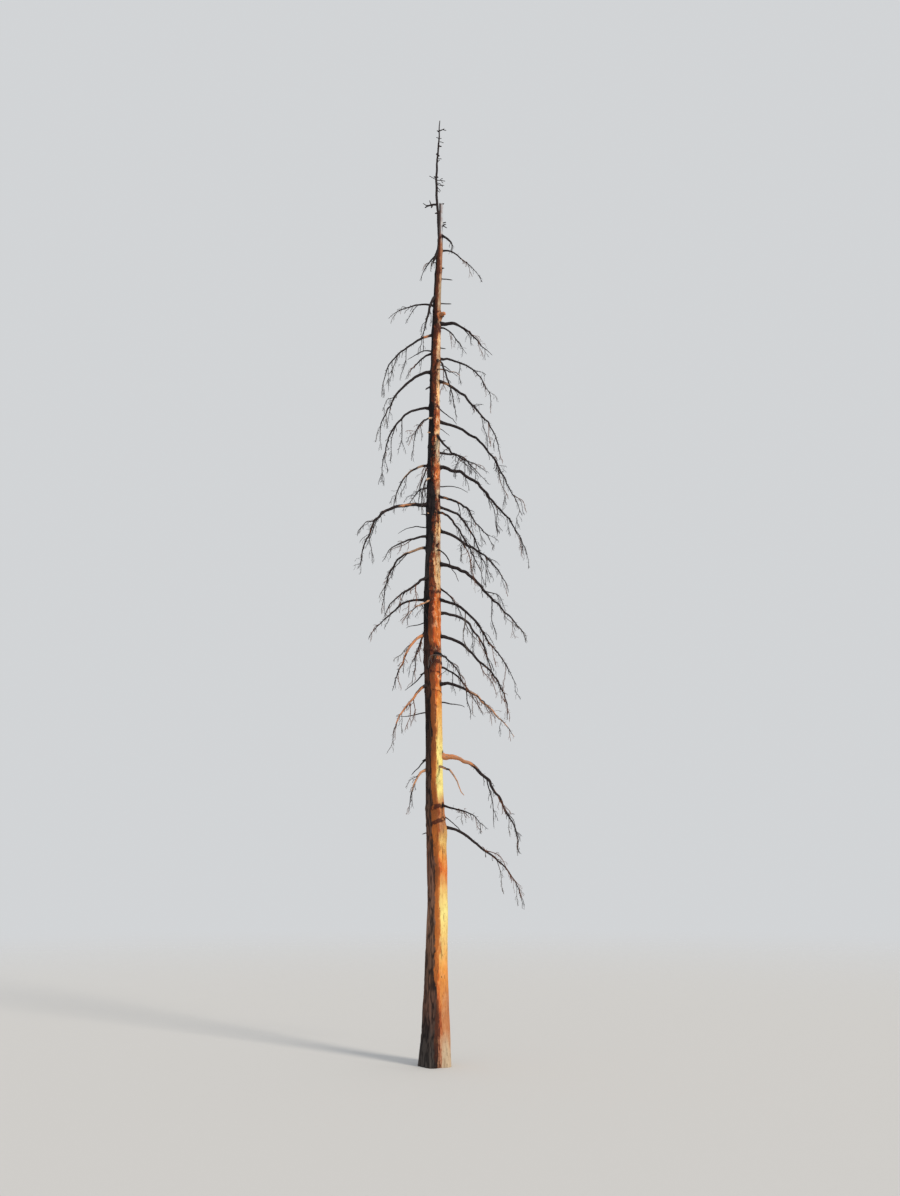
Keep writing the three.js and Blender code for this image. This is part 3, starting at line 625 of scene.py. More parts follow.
class Branch:
    """A limb, shoot or twig: it leaves at one slope, sinks to another and wavers on the way."""

    def __init__(self, start, heading, length, rise, fall, girth, seed, rule):
        self.length, self.seed = length, seed
        count = rule["knots"]
        shares = np.arange(2 * count + 1) / (2 * count)
        headings = heading + self.waver(shares, rule, DRAW_TURN_CYCLES, DRAW_TURN_START)
        slopes = rise + (fall - rise) * shares ** rule["bend"]
        slopes = slopes + self.waver(shares, rule, DRAW_SLOPE_CYCLES, DRAW_SLOPE_START)
        steps = direction(headings[1::2], slopes[1::2]) * length / count
        self.knots = np.concatenate([[start], start + np.cumsum(steps, axis=0)])
        self.headings, self.slopes = headings[::2], slopes[::2]
        self.widths = np.maximum(rule.get("least", LEAST_GIRTH), girth * (1 - rule["taper"] * shares[::2]))

    def waver(self, shares, rule, cycles_draw, start_draw):
        cycles = pick(self.seed, cycles_draw, WAVER_CYCLES)
        start = 2 * math.pi * pick(self.seed, start_draw, (0, 1))
        return rule["waver"] * (np.sin(2 * math.pi * shares * cycles + start) - math.sin(start))

    def part(self, share):
        """Place, heading, slope and width part of the way along, straight between knots."""
        steps = np.arange(len(self.knots)) / (len(self.knots) - 1)
        place = np.stack([np.interp(share, steps, self.knots[:, axis]) for axis in range(3)], -1)
        return (place, *[np.interp(share, steps, row) for row in (self.headings, self.slopes, self.widths)])

    def smooth(self, step, start):
        """The branch's fine course: one smooth crooked line through its knots, from its own start."""
        stretches = len(self.knots) - 1
        each = max(2, math.ceil(self.length / stretches / step))
        along_knots = np.arange(stretches * each + 1) / each
        first = np.minimum(along_knots.astype(int), stretches - 1)
        t = (along_knots - first)[:, None]
        ways = direction(self.headings, self.slopes) * self.length / stretches
        line = (1 + 2 * t) * (1 - t) ** 2 * self.knots[first] + t * t * (3 - 2 * t) * self.knots[first + 1]
        line = line + t * (1 - t) ** 2 * ways[first] - t * t * (1 - t) * ways[first + 1]
        self.girths = np.interp(along_knots, np.arange(stretches + 1), self.widths)
        far = along_knots / stretches * self.length
        lane = 0 * far + self.seed % CROOK_LANES
        crooks = [layered(far / CROOK_LENGTH, lane, 0 * far, axis, 2) - 0.5 for axis in range(3)]
        sway = np.stack(crooks, -1) - np.array([crook[0] for crook in crooks])
        line = line + sway * 2 * CROOK_SHARE * self.widths[0] * np.minimum(1, far / CROOK_LENGTH)[:, None]
        self.line = line + (start - line[0])

    def on_line(self, share):
        """The place on the fine course that lies part of the way along."""
        steps = np.linspace(0, 1, len(self.line))
        return np.array([np.interp(share, steps, self.line[:, axis]) for axis in range(3)])


def skeleton(name, branches, marks=()):
    """A mesh of bare edges along fine courses, with the width and the marks of every branch."""
    counts = [len(branch.line) for branch in branches]
    starts = np.cumsum([0] + counts[:-1])
    pairs = [np.stack([np.arange(count - 1), np.arange(1, count)], -1) for count in counts]
    edges = np.concatenate([pair + start for pair, start in zip(pairs, starts)])
    mesh = bpy.data.meshes.new(name)
    mesh.from_pydata(np.concatenate([branch.line for branch in branches]).tolist(), edges.tolist(), [])
    columns = {"width": np.concatenate([branch.girths for branch in branches])}
    for mark in marks:
        spread = [np.full(len(branch.line), getattr(branch, mark)) for branch in branches]
        columns[mark] = np.concatenate(spread)
    for key, values in columns.items():
        mesh.attributes.new(key, "FLOAT", "POINT").data.foreach_set("value", values.astype(np.float32))
    return mesh


def new_tree(name, inputs):
    """A Geometry Nodes tree with named inputs, and its nodes for the group's input."""
    tree = bpy.data.node_groups.new(name, "GeometryNodeTree")
    tree.interface.new_socket("Geometry", in_out="INPUT", socket_type="NodeSocketGeometry")
    for label, kind in inputs.items():
        tree.interface.new_socket(label, in_out="INPUT", socket_type=kind)
    tree.interface.new_socket("Geometry", in_out="OUTPUT", socket_type="NodeSocketGeometry")
    nodes = Nodes(tree)
    entry = tree.nodes.new("NodeGroupInput")
    return tree, nodes, {label: Socket(nodes, entry.outputs[label]) for label in ("Geometry", *inputs)}


def end_tree(nodes, geometry, finish):
    """The tree's last nodes: instances made real, soft shading and the finish."""
    real = nodes.add("GeometryNodeRealizeInstances", {}, {"Geometry": geometry})
    soft = nodes.add("GeometryNodeSetShadeSmooth", {}, {"Geometry": real})
    dressed = nodes.add("GeometryNodeSetMaterial", {}, {"Geometry": soft, "Material": finish})
    nodes.add("NodeGroupOutput", {}, {"Geometry": dressed})


def made_by(tree, name, base, values):
    """A plain mesh object made from a base mesh by a tree, with the tree's inputs told by their labels."""
    piece = bpy.data.objects.new(name, base)
    bpy.context.scene.collection.objects.link(piece)
    modifier = piece.modifiers.new(tree.name, "NODES")
    modifier.node_group = tree
    for item in tree.interface.items_tree:
        if item.in_out == "INPUT" and item.name in values:
            modifier[item.identifier] = values[item.name]
    graph = bpy.context.evaluated_depsgraph_get()
    made = bpy.data.meshes.new_from_object(
        piece.evaluated_get(graph), preserve_all_data_layers=True, depsgraph=graph,
    )
    piece.modifiers.remove(modifier)
    piece.data = made
    return piece


tube_tree, nodes, given = new_tree("branch_tubes", {
    "Sides": "NodeSocketInt", "Relief": "NodeSocketFloat", "Relief Width": "NodeSocketFloat",
    "Relief Length": "NodeSocketFloat", "Finish": "NodeSocketMaterial",
})
paths = nodes.add("GeometryNodeMeshToCurve", {}, {"Mesh": given["Geometry"]})
far = nodes.add("GeometryNodeSplineParameter", {}, {}, "Length")
paths = nodes.add("GeometryNodeStoreNamedAttribute", {}, {"Geometry": paths, "Name": "far", "Value": far})
round_rim = nodes.add("GeometryNodeCurvePrimitiveCircle", {}, {"Resolution": given["Sides"], "Radius": 1.0})
round_rim = nodes.add("GeometryNodeStoreNamedAttribute", {"data_type": "FLOAT_VECTOR"}, {
    "Geometry": round_rim, "Name": "rim", "Value": nodes.add("GeometryNodeInputPosition"),
})
width = nodes.add("GeometryNodeInputNamedAttribute", {}, {"Name": "width"})
tubes = nodes.add("GeometryNodeCurveToMesh", {}, {
    "Curve": paths, "Profile Curve": round_rim, "Scale": width / 2, "Fill Caps": True,
})
rim = nodes.add("GeometryNodeInputNamedAttribute", {"data_type": "FLOAT_VECTOR"}, {"Name": "rim"})
far = nodes.add("GeometryNodeInputNamedAttribute", {}, {"Name": "far"})
around = nodes.add("ShaderNodeVectorMath", {"operation": "SCALE"}, {0: rim, "Scale": width / 2})
lengthwise = nodes.add("ShaderNodeCombineXYZ", {}, {"Z": far})
course = nodes.add("ShaderNodeVectorMath", {"operation": "ADD"}, {0: around, 1: lengthwise})
tubes = nodes.add("GeometryNodeStoreNamedAttribute", {"data_type": "FLOAT_VECTOR"}, {
    "Geometry": tubes, "Name": "course", "Value": course,
})
cell = nodes.add("ShaderNodeCombineXYZ", {}, {
    "X": 1 / given["Relief Width"], "Y": 1 / given["Relief Width"], "Z": 1 / given["Relief Length"],
})
cells = nodes.add("ShaderNodeVectorMath", {"operation": "MULTIPLY"}, {0: course, 1: cell})
shift = nodes.add("ShaderNodeVectorMath", {"operation": "ADD"}, {
    0: cells, 1: nodes.add("GeometryNodeInputPosition"),
})
lumps = nodes.add("ShaderNodeTexNoise", {}, {"Vector": shift, "Scale": 1.0, "Detail": 2.0})
outward = nodes.add("ShaderNodeVectorMath", {"operation": "SCALE"}, {
    0: nodes.add("GeometryNodeInputNormal"), "Scale": (lumps - 0.5) * given["Relief"] * width,
})
tubes = nodes.add("GeometryNodeSetPosition", {}, {"Geometry": tubes, "Offset": outward})
end_tree(nodes, tubes, given["Finish"])

# Limb colours: the near-black bark is partly its own charred colour and partly painted shade, and the
# orange of bare wood is partly painted sunlight.
BARK_ON_LIMB = (0.022, 0.017, 0.018)
LIMB_ASH = (0.06, 0.045, 0.043)
LIMB_SUNLIT_ORANGE = (0.56, 0.2, 0.07)
LIMB_PALE = (0.52, 0.36, 0.24)
LIMB_GREY = (0.26, 0.2, 0.165)
limb_finish, nodes = new_finish("limb_wood")
course = nodes.attribute("course", "Vector")
patch = nodes.speckle(course, (18, 18, 3.2), 4)
fibres = nodes.speckle(course, (160, 160, 9), 3)
scales = nodes.speckle(course, (90, 90, 40), 3)
bare = nodes.attribute("bare")
bark = nodes.mix(scales.between(0.45, 0.75) * 0.6, BARK_ON_LIMB, LIMB_ASH)
naked = nodes.mix(nodes.attribute("warm"), LIMB_PALE, LIMB_SUNLIT_ORANGE)
naked = nodes.mix(nodes.speckle(course, (12, 12, 5), 3).between(0.48, 0.62) * 0.7, naked, LIMB_GREY)
naked = nodes.mix(fibres.between(0.45, 0.75) * 0.6, naked, BARK_ON_LIMB)
stripped = (patch + bare).between(0.98, 1.06)
nodes.end(
    {"Base Color": nodes.mix(stripped, bark, naked), "Roughness": 0.9 - 0.15 * stripped},
    {"Height": fibres + scales * (1 - stripped), "Strength": 0.6, "Distance": 0.003},
)

BARE_LIMBS = {  # which limb, how bare it is inside a reach, that reach, how bare beyond it, and how orange, the orange partly painted sunlight
    3: (0.75, 0.65, 0.34, 0.6), 4: (1.1, 0.62, 0.42, 0.85), 6: (0.2, 0.8, 0.55, 0.5),
    7: (0.62, 1.2, 0.45, 0.9), 11: (0.7, 1, 0.34, 0.85), 15: (0.66, 1, 0.34, 0.5),
    20: (0.7, 0.6, 0.34, 0.3), 23: (0.5, 0.8, 0.34, 1), 25: (0.48, 1, 0.38, 0.7), 26: (0.5, 0.9, 0.34, 0.7),
    28: (0.75, 0.4, 0.34, 0.1), 30: (0.56, 0.9, 0.34, 0.2), 35: (0.75, 0.4, 0.34, 0.1),
    37: (0.55, 0.45, 0.34, 0.4), 39: (0.6, 0.4, 0.34, 0.4), 43: (0.62, 0.35, 0.34, 0.9),
    48: (0.45, 0.5, 0.34, 0.6),
}
THICK_ROOTS = {  # which limb, its width there, and how far out it keeps it
    4: (0.096, 0.58), 25: (0.07, 1.1), 44: (0.072, 0.6), 46: (0.052, 1), 49: (0.05, 0.5), 50: (0.042, 0.5),
}
ROOT_BARK, ROOT_BARK_LENGTH = 0.35, 0.06
COMMON_BARE, COMMON_WARMTH = 0.34, 0.5
LIMB_FULLNESS, LIMB_STOUTNESS = 0.9, 1.12
LIMB_RELIEF = {"Relief": 0.28, "Relief Width": 0.03, "Relief Length": 0.06}
limbs = []
for i, (root, heading, length, rise, fall, girth, stout) in enumerate(LIMBS):
    start = np.array([float(along(TRUNK_STATIONS, root, 2)), 0, root])
    limb = Branch(start, heading, length, rise, fall, girth, offspring(LIMB_SEEDS, i), LIMB_RULE)
    limb.owner, limb.stout, limb.number = i, stout, f"{i + 1:02d}"
    limb.smooth(LIMB_STEP, start)
    share_out = np.linspace(0, 1, len(limb.line))
    limb.bare, limb.warm = np.full(len(limb.line), COMMON_BARE), COMMON_WARMTH
    if i + 1 in BARE_LIMBS:
        bare, reach, beyond, limb.warm = BARE_LIMBS[i + 1]
        limb.bare = beyond + (bare - beyond) * np.exp(-((share_out * length / reach) ** 4))
    limb.girths = limb.girths * (LIMB_STOUTNESS + LIMB_FULLNESS * share_out * (1 - share_out))
    if i + 1 in THICK_ROOTS:
        thick, reach = THICK_ROOTS[i + 1]
        limb.girths = np.maximum(limb.girths, thick * np.exp(-((share_out * length / reach) ** 6)))
    buried = float(along(TRUNK_STATIONS, root)) / 2
    out = np.linalg.norm(limb.line[:, :2] - start[:2], axis=1) - buried
    limb.girths = limb.girths * (1 + ROOT_FLARE * np.exp(-np.maximum(0, out) / ROOT_FLARE_LENGTH))
    limb.bare = limb.bare - ROOT_BARK * np.exp(-np.maximum(0, out) / ROOT_BARK_LENGTH)
    limbs.append(limb)

stout_limbs = [limb for limb in limbs if limb.stout]
slender_limbs = [limb for limb in limbs if not limb.stout]
for name, group, sides in (("boughs", stout_limbs, 14), ("limbs", slender_limbs, 12)):
    bones = skeleton(name, group, ["bare", "warm"])
    piece = made_by(tube_tree, name, bones, {"Sides": sides, "Finish": limb_finish, **LIMB_RELIEF})
    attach(piece, "root")
    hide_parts(*[f"twigs_{limb.number}" for limb in group])
    if group is stout_limbs:
        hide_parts(*[f"bough_{limb.number}" for limb in group])

# Leader: the thin last stem of the tree, which grew on from the side of the trunk below its snapped
# top. It is one crooked wand of dark dead wood with short dead spurs where its side shoots broke off.
LEADER_STATIONS = (  # height, width there, and how far the middle stands toward +X
    (16.8, 0.05, 0.005), (17.3, 0.055, 0.003), (17.7, 0.056, -0.015), (18.3, 0.052, -0.055),
    (18.7, 0.046, -0.045), (19.5, 0.036, 0.003), (19.85, 0.026, 0.014), (20, 0.012, 0.018),
)
LEADER_SPURS = (  # height, heading, length, slope and width
    (17.38, 10, 0.2, 30, 0.022), (17.34, 350, 0.25, -36, 0.018), (17.6, 185, 0.07, -5, 0.026),
    (17.84, 180, 0.3, 3, 0.028), (18.22, 0, 0.1, -45, 0.009), (18.3, 30, 0.14, -40, 0.01),
    (18.36, 350, 0.2, -30, 0.011), (18.4, 20, 0.17, -22, 0.011), (18.46, 0, 0.2, -6, 0.012),
    (18.48, 178, 0.17, 4, 0.01), (18.54, 185, 0.06, 10, 0.026), (18.55, 20, 0.05, -20, 0.024),
    (18.9, 340, 0.1, 35, 0.01), (19.02, 5, 0.1, 5, 0.01), (19.1, 20, 0.045, -10, 0.03),
    (19.13, 200, 0.04, 5, 0.032), (19.34, 5, 0.075, 12, 0.022), (19.45, 350, 0.13, -12, 0.009),
    (19.53, 0, 0.06, 0, 0.011), (19.53, 185, 0.07, 2, 0.011), (19.72, 185, 0.055, 10, 0.02),
    (19.74, 10, 0.17, -8, 0.016),
)
LEADER_FORKS = (  # height of the spur that forks, share of the way out, heading, length, slope and width
    (17.84, 0.42, 190, 0.08, -62, 0.028), (17.84, 0.5, 170, 0.12, 70, 0.016),
    (17.84, 0.68, 185, 0.14, 42, 0.014), (18.46, 0.4, 30, 0.09, 45, 0.008),
    (18.46, 0.6, 340, 0.08, -60, 0.008), (18.36, 0.5, 10, 0.07, 10, 0.008),
    (19.74, 0.55, 20, 0.04, 50, 0.01),
)
LEADER_RINGS = 120
LEADER_CROOK, LEADER_CROOK_LENGTH, CROOK_SEED = 0.016, 0.22, 81
SPUR_RULE = {"knots": 2, "bend": 1, "waver": 14, "taper": 0.5, "least": 0.008}
SPUR_STOUTNESS = 1.8
SPUR_STEP = 0.02
STUB_SEEDS, FORK_SEEDS = 5, 6
DARK_BARE = 0.2
LEADER_RELIEF = {"Relief": 0.3, "Relief Width": 0.02, "Relief Length": 0.06}

leader_up = np.linspace(LEADER_STATIONS[0][0], LEADER_STATIONS[-1][0], LEADER_RINGS)
leader_width, leader_aside = stem_at(LEADER_STATIONS, leader_up)
level = 0 * leader_up
crooks = [noise(leader_up / LEADER_CROOK_LENGTH, level, level, CROOK_SEED + axis) - 0.5 for axis in (0, 1)]
leader = SimpleNamespace(
    line=np.stack([leader_aside + LEADER_CROOK * crooks[0], LEADER_CROOK * crooks[1], leader_up], -1),
    girths=leader_width, bare=DARK_BARE, warm=COMMON_WARMTH,
)
leader_spurs = []
for i, (root, heading, length, slope, girth) in enumerate(LEADER_SPURS):
    start = np.array([np.interp(root, leader_up, leader.line[:, axis]) for axis in range(3)])
    seed = offspring(STUB_SEEDS, len(STUBS) + i)
    spur = Branch(start, heading, length, slope, slope, girth, seed, SPUR_RULE)
    spur.root = root
    spur.smooth(SPUR_STEP, start)
    leader_spurs.append(spur)
for i, (root, share, heading, length, slope, girth) in enumerate(LEADER_FORKS):
    start = next(spur for spur in leader_spurs if spur.root == root).on_line(share)
    fork = Branch(start, heading, length, slope, slope, girth, offspring(FORK_SEEDS, i), SPUR_RULE)
    fork.root = 0
    fork.smooth(SPUR_STEP, start)
    leader_spurs.append(fork)
for spur in leader_spurs:
    spur.bare, spur.warm = DARK_BARE, COMMON_WARMTH
    spur.girths = spur.girths * SPUR_STOUTNESS
for name, group, sides in (("leader", [leader], 20), ("leader_spurs", leader_spurs, 10)):
    bones = skeleton(name, group, ["bare", "warm"])
    piece = made_by(tube_tree, name, bones, {"Sides": sides, "Finish": limb_finish, **LEADER_RELIEF})
    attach(piece, "root")
    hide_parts("trunk")

# Stubs and snags: what is left on the trunk of limbs that broke off, short butts with a splintered
# end, and a few small dead limbs that never grew thick. They are the same hard dark wood.
SNAG_RULE = {"knots": 4, "bend": 0.8, "waver": 8, "taper": 0.7}
STUB_RULE = {"knots": 1, "bend": 1, "waver": 0, "taper": 0.35}
SNAGS = (  # height, heading, length, slope at the root and at the tip, width, and how bare
    (4.45, 40, 1, 5, -55, 0.031, 0.34), (5.45, 310, 1.2, -8, -68, 0.052, 0.56),
    (9.8, 305, 1.2, -5, -65, 0.034, 0.4), (10.3, 140, 0.9, 25, -20, 0.03, 0.34),
    (11.2, 60, 1.2, 25, -10, 0.032, 0.34), (12.95, 55, 1.1, 30, -5, 0.034, 0.34),
    (13.8, 300, 1.1, 0, -50, 0.036, 0.5), (14.2, 150, 0.8, 45, -15, 0.036, 0.34),
    (13.95, 30, 0.6, 10, -40, 0.028, 0.34), (12.5, 20, 0.4, 5, -45, 0.024, 0.34),
    (6.65, 350, 0.65, 20, -30, 0.036, 0.34), (6.45, 180, 0.7, 0, -10, 0.034, 0.34),
    (5.65, 165, 0.62, -20, -55, 0.042, 0.34), (8.3, 175, 0.55, -2, -10, 0.032, 0.34),
    (7.35, 190, 0.7, -25, -35, 0.038, 0.34),
)
KNOBS = (  # height, heading, length, slope, width, how bare and how orange: butts snapped off short
    (12.36, 228, 0.2, -4, 0.04, 0.9, 0.2), (10.56, 230, 0.18, 4, 0.04, 0.9, 0.2),
    (9.86, 262, 0.12, -6, 0.035, 0.9, 0.2), (15.14, 344, 0.23, -38, 0.12, 0.9, 1),
    (16.25, 355, 0.12, 0, 0.05, 0.2, 0.5), (17.83, 355, 0.075, 25, 0.045, 0.2, 0.5),
    (17.3, 350, 0.12, 15, 0.036, 0.2, 0.5),
)
SNAG_SEEDS, SNAG_STEP, SNAG_SIDES = 31, 0.02, 12
SNAG_RELIEF = {"Relief": 0.35, "Relief Width": 0.02, "Relief Length": 0.05}
SPLINTERED_END = (0.82, 0.3)

stubs, snags = [], []
butts = [(*stub, COMMON_BARE, COMMON_WARMTH) for stub in STUBS] + list(KNOBS)
for i, (root, heading, length, slope, girth, bare, warm) in enumerate(butts):
    start = np.array([float(along(TRUNK_STATIONS, root, 2)), 0, root])
    stub = Branch(start, heading, length, slope, slope, girth, offspring(STUB_SEEDS, i), STUB_RULE)
    stub.bare, stub.warm = bare, warm
    stubs.append(stub)
for i, (root, heading, length, rise, fall, girth, bare) in enumerate(SNAGS):
    start = np.array([float(along(TRUNK_STATIONS, root, 2)), 0, root])
    snag = Branch(start, heading, length, rise, fall, girth, offspring(SNAG_SEEDS, i), SNAG_RULE)
    snag.bare, snag.warm = bare, COMMON_WARMTH
    snags.append(snag)
for branch in stubs + snags:
    branch.smooth(SNAG_STEP, branch.knots[0])
    branch.girths[-2:] *= SPLINTERED_END
for name, group in (("stubs", stubs), ("snags", snags)):
    bones = skeleton(name, group, ["bare", "warm"])
    piece = made_by(tube_tree, name, bones, {"Sides": SNAG_SIDES, "Finish": limb_finish, **SNAG_RELIEF})
    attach(piece, "root")
    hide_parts("trunk")

# Shoots and twigs: the dead side growth of the limbs, one order finer than the next, with the
# needles long gone. Each grew from its parent by one rule and broke off where it met another limb.
SHOOT_RULE = {
    "knots": 2, "bend": 0.9, "waver": 14, "taper": 0.8, "first": 0.26, "spacing": 0.265,
    "spread": (28, 62), "tilt": (-38, 22), "share": (0.26, 0.46), "fall": (-85, -40), "girth": 0.5,
}
TWIG_RULE = {
    "knots": 1, "bend": 1, "waver": 12, "taper": 0.8, "first": 0.3, "spacing": 0.6,
    "spread": (30, 65), "tilt": (-40, 25), "share": (0.3, 0.5), "fall": (-80, -30), "girth": 0.55,
}
BOUGH_SHARE, PAST_BOUGH = 0.375, 0.04
SHARE_AT_TIP = 0.3
STEEPEST = -88
DRAW_PLACE, DRAW_TILT, DRAW_SPREAD, DRAW_SHARE, DRAW_FALL = 5, 6, 7, 8, 9
FIRST_SIDE_GROWTH = 20
ROOM_OUTWARD, ROOM_DOWNWARD = 0.12, 0.45
CLEARANCE, TRUNK_CLEARANCE = 0.026, 0.052
SPOT_SPACING, SUNK_SHARE = 0.03, 0.12
TRUNK_OWNER = -1
TONES = (  # name, colour, and how much of the growth wears it low and high in the tree
    ("dark", (0.032, 0.024, 0.024), 0.42, 0.74),
    ("red_brown", (0.13, 0.055, 0.032), 0.4, 0.14),
    ("grey", (0.095, 0.08, 0.074), 0.18, 0.12),
)
LOW_CROWN, HIGH_CROWN = 7, 12
DRAW_TONE = 10
SHOOT_STEP = 0.03
SHOOT_SIDES, TWIG_SIDES = 8, 6
SHOOT_RELIEF, GROWTH_RELIEF = 0.3, {"Relief Width": 0.012, "Relief Length": 0.04}
GROWTH_STOUTNESS = 1.3
PLACE_IN_STRETCH = (0.1, 0.8)


def side_growth(parent, rule, first):
    """The side growth of a branch, on alternate sides, shorter toward the tip and drooping more."""
    children = []
    count = round(parent.length * (1 - first) / rule["spacing"] + 1e-9)
    for i in range(count):
        seed = offspring(parent.seed, i + FIRST_SIDE_GROWTH)
        share = first + (1 - first) * (i + pick(seed, DRAW_PLACE, PLACE_IN_STRETCH)) / count
        place, heading, slope, width = parent.part(share)
        side = 1 if (i + parent.seed % 2) % 2 else -1
        outward = heading + side * pick(seed, DRAW_SPREAD, rule["spread"])
        rise = max(STEEPEST, slope + pick(seed, DRAW_TILT, rule["tilt"]))
        fall = min(rise, pick(seed, DRAW_FALL, rule["fall"]))
        if "reach" in rule:
            long = pick(seed, DRAW_SHARE, rule["reach"])
        else:
            long = parent.length * pick(seed, DRAW_SHARE, rule["share"])
        long = long * (1 + SHARE_AT_TIP - share)
        child = Branch(place, outward, long, rise, fall, width * rule["girth"], seed, rule)
        child.parent, child.share = parent, share
        child.owner = parent.owner
        children.append(child)
    return children


class Stretches:
    """The straight stretches of all branches so far, for testing how clear a new one is."""

    def __init__(self):
        self.starts, self.ways, self.radii, self.owners = [np.zeros((0, n)) for n in (3, 3, 1, 1)]

    def take(self, branch, owner):
        count = len(branch.knots) - 1
        self.starts = np.concatenate([self.starts, branch.knots[:-1]])
        self.ways = np.concatenate([self.ways, np.diff(branch.knots, axis=0)])
        self.radii = np.concatenate([self.radii, branch.widths[:-1, None] / 2])
        self.owners = np.concatenate([self.owners, np.full((count, 1), owner)])

    def clear(self, branch, owner, room, clearance, trunk_clearance):
        """True where a branch keeps to its limb's room and clear of the trunk and all other limbs."""
        count = max(2, math.ceil(branch.length / SPOT_SPACING))
        place, _, _, width = branch.part(SUNK_SHARE + (1 - SUNK_SHARE) * np.arange(count + 1) / count)
        up = np.minimum(place[:, 2], TRUNK_STATIONS[-1][0])
        out = np.hypot(place[:, 0] - along(TRUNK_STATIONS, up, 2), place[:, 1])
        if (out > room[0]).any() or (place[:, 2] < room[1]).any():
            return False
        if (out < along(TRUNK_STATIONS, up) / 2 + trunk_clearance).any():
            return False
        others = self.owners[:, 0] != owner
        starts, ways, radii = self.starts[others], self.ways[others], self.radii[others, 0]
        offset = place[:, None] - starts[None]
        share = np.clip((offset * ways).sum(-1) / (ways * ways).sum(-1), 0, 1)
        apart = np.linalg.norm(offset - share[..., None] * ways, axis=-1)
        return bool((apart > radii + width[:, None] / 2 + clearance).all())


stretches = Stretches()
for limb in limbs:
    stretches.take(limb, limb.owner)
    outs = np.hypot(limb.knots[:, 0] - limb.knots[0, 0], limb.knots[:, 1])
    limb.room = (outs.max() + ROOM_OUTWARD, limb.knots[:, 2].min() - ROOM_DOWNWARD)

for stub in stubs:
    stretches.take(stub, TRUNK_OWNER)


def deal_tone(branch):
    """The tone of a whole spray: mostly dark high in the tree and red brown low in it."""
    high = np.clip((branch.knots[0, 2] - LOW_CROWN) / (HIGH_CROWN - LOW_CROWN), 0, 1)
    heaps = np.cumsum([low + (top - low) * high for _, _, low, top in TONES])
    return int(np.searchsorted(heaps, pick(branch.seed, DRAW_TONE, (0, heaps[-1]))))


def make_growth(kind, branches, finishes, sides, relief):
    """One kind of growth, joined into one piece for each tone."""
    for (tone, _, _, _), finish in zip(TONES, finishes):
        group = [branch for branch in branches if TONES[branch.tone][0] == tone]
        piece = made_by(tube_tree, f"{kind}_{tone}", skeleton(kind, group), {
            "Sides": sides, "Finish": finish, "Relief": relief, **GROWTH_RELIEF,
        })
        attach(piece, "root")
        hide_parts(*sorted({f"twigs_{limbs[branch.owner].number}" for branch in group}))


shoots = []
for limb in limbs:
    first = BOUGH_SHARE + PAST_BOUGH if limb.stout else SHOOT_RULE["first"]
    for shoot in side_growth(limb, SHOOT_RULE, first):
        if stretches.clear(shoot, limb.owner, limb.room, CLEARANCE, TRUNK_CLEARANCE):
            stretches.take(shoot, limb.owner)
            shoots.append(shoot)
            shoot.tone = deal_tone(shoot)
twigs = []
for shoot in shoots:
    for twig in side_growth(shoot, TWIG_RULE, TWIG_RULE["first"]):
        if stretches.clear(twig, shoot.owner, limbs[shoot.owner].room, CLEARANCE, TRUNK_CLEARANCE):
            stretches.take(twig, shoot.owner)
            twigs.append(twig)
            twig.tone = shoot.tone
for branch in shoots + twigs:
    branch.smooth(SHOOT_STEP, branch.parent.on_line(branch.share))
    branch.girths = branch.girths * GROWTH_STOUTNESS

twig_finishes = []
for tone, color, _, _ in TONES:
    finish, nodes = new_finish(f"twig_{tone}")
    nodes.end({"Base Color": (*color, 1), "Roughness": 0.88})
    twig_finishes.append(finish)
make_growth("shoots", shoots, twig_finishes, SHOOT_SIDES, SHOOT_RELIEF)
make_growth("twigs", twigs, twig_finishes, TWIG_SIDES, SHOOT_RELIEF)

# Sprigs and tips: the last fine growth on the outer limbs, shoots and twigs, brittle dead wood no
# thicker than a pencil. Sprigs hang in loose sprays, and the longer ones fork once more into tips.
SPRIG_RULE = {
    "knots": 3, "bend": 0.8, "waver": 24, "taper": 0.5, "least": 0.005, "spacing": 0.075,
    "spread": (25, 70), "tilt": (-50, 40), "reach": (0.06, 0.25), "fall": (-85, -10), "girth": 0.75,
}
TIP_RULE = {
    "knots": 2, "bend": 1, "waver": 18, "taper": 0.4, "least": 0.004, "spacing": 0.06,
    "spread": (30, 65), "tilt": (-35, 35), "reach": (0.03, 0.09), "fall": (-80, 0), "girth": 0.75,
}
SPRIGS_FROM = {"limb": 0.4, "shoot": 0.15, "twig": 0.2, "sprig": 0.3}
SPRIG_STEP, SPRIG_SIDES, TIP_SIDES = 0.03, 5, 4
SPRIG_RELIEF, TIP_RELIEF = 0.2, 0
GREATEST_SPRIG = 0.011
SPRIG_CLEARANCE, SPRIG_TRUNK_CLEARANCE, ROOM_EDGE = 0.008, 0.03, 0.03
LEAST_FORKED = 0.13

for limb in limbs:
    boxes = [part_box(f"twigs_{limb.number}")] + ([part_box(f"bough_{limb.number}")] if limb.stout else [])
    limb.low = np.min([box[0] for box in boxes], axis=0) - ROOM_EDGE
    limb.high = np.max([box[1] for box in boxes], axis=0) + ROOM_EDGE


def grown(parent, rule, first):
    """The fine growth of one branch that keeps to its limb's room and clear of everything else."""
    limb = limbs[parent.owner]
    kept = []
    for child in side_growth(parent, rule, first):
        inside = (child.knots >= limb.low).all() and (child.knots <= limb.high).all()
        spaces = (SPRIG_CLEARANCE, SPRIG_TRUNK_CLEARANCE)
        if inside and stretches.clear(child, limb.owner, limb.room, *spaces):
            child.tone = parent.tone if hasattr(parent, "tone") else deal_tone(child)
            child.widths = np.minimum(child.widths, GREATEST_SPRIG)
            kept.append(child)
    return kept


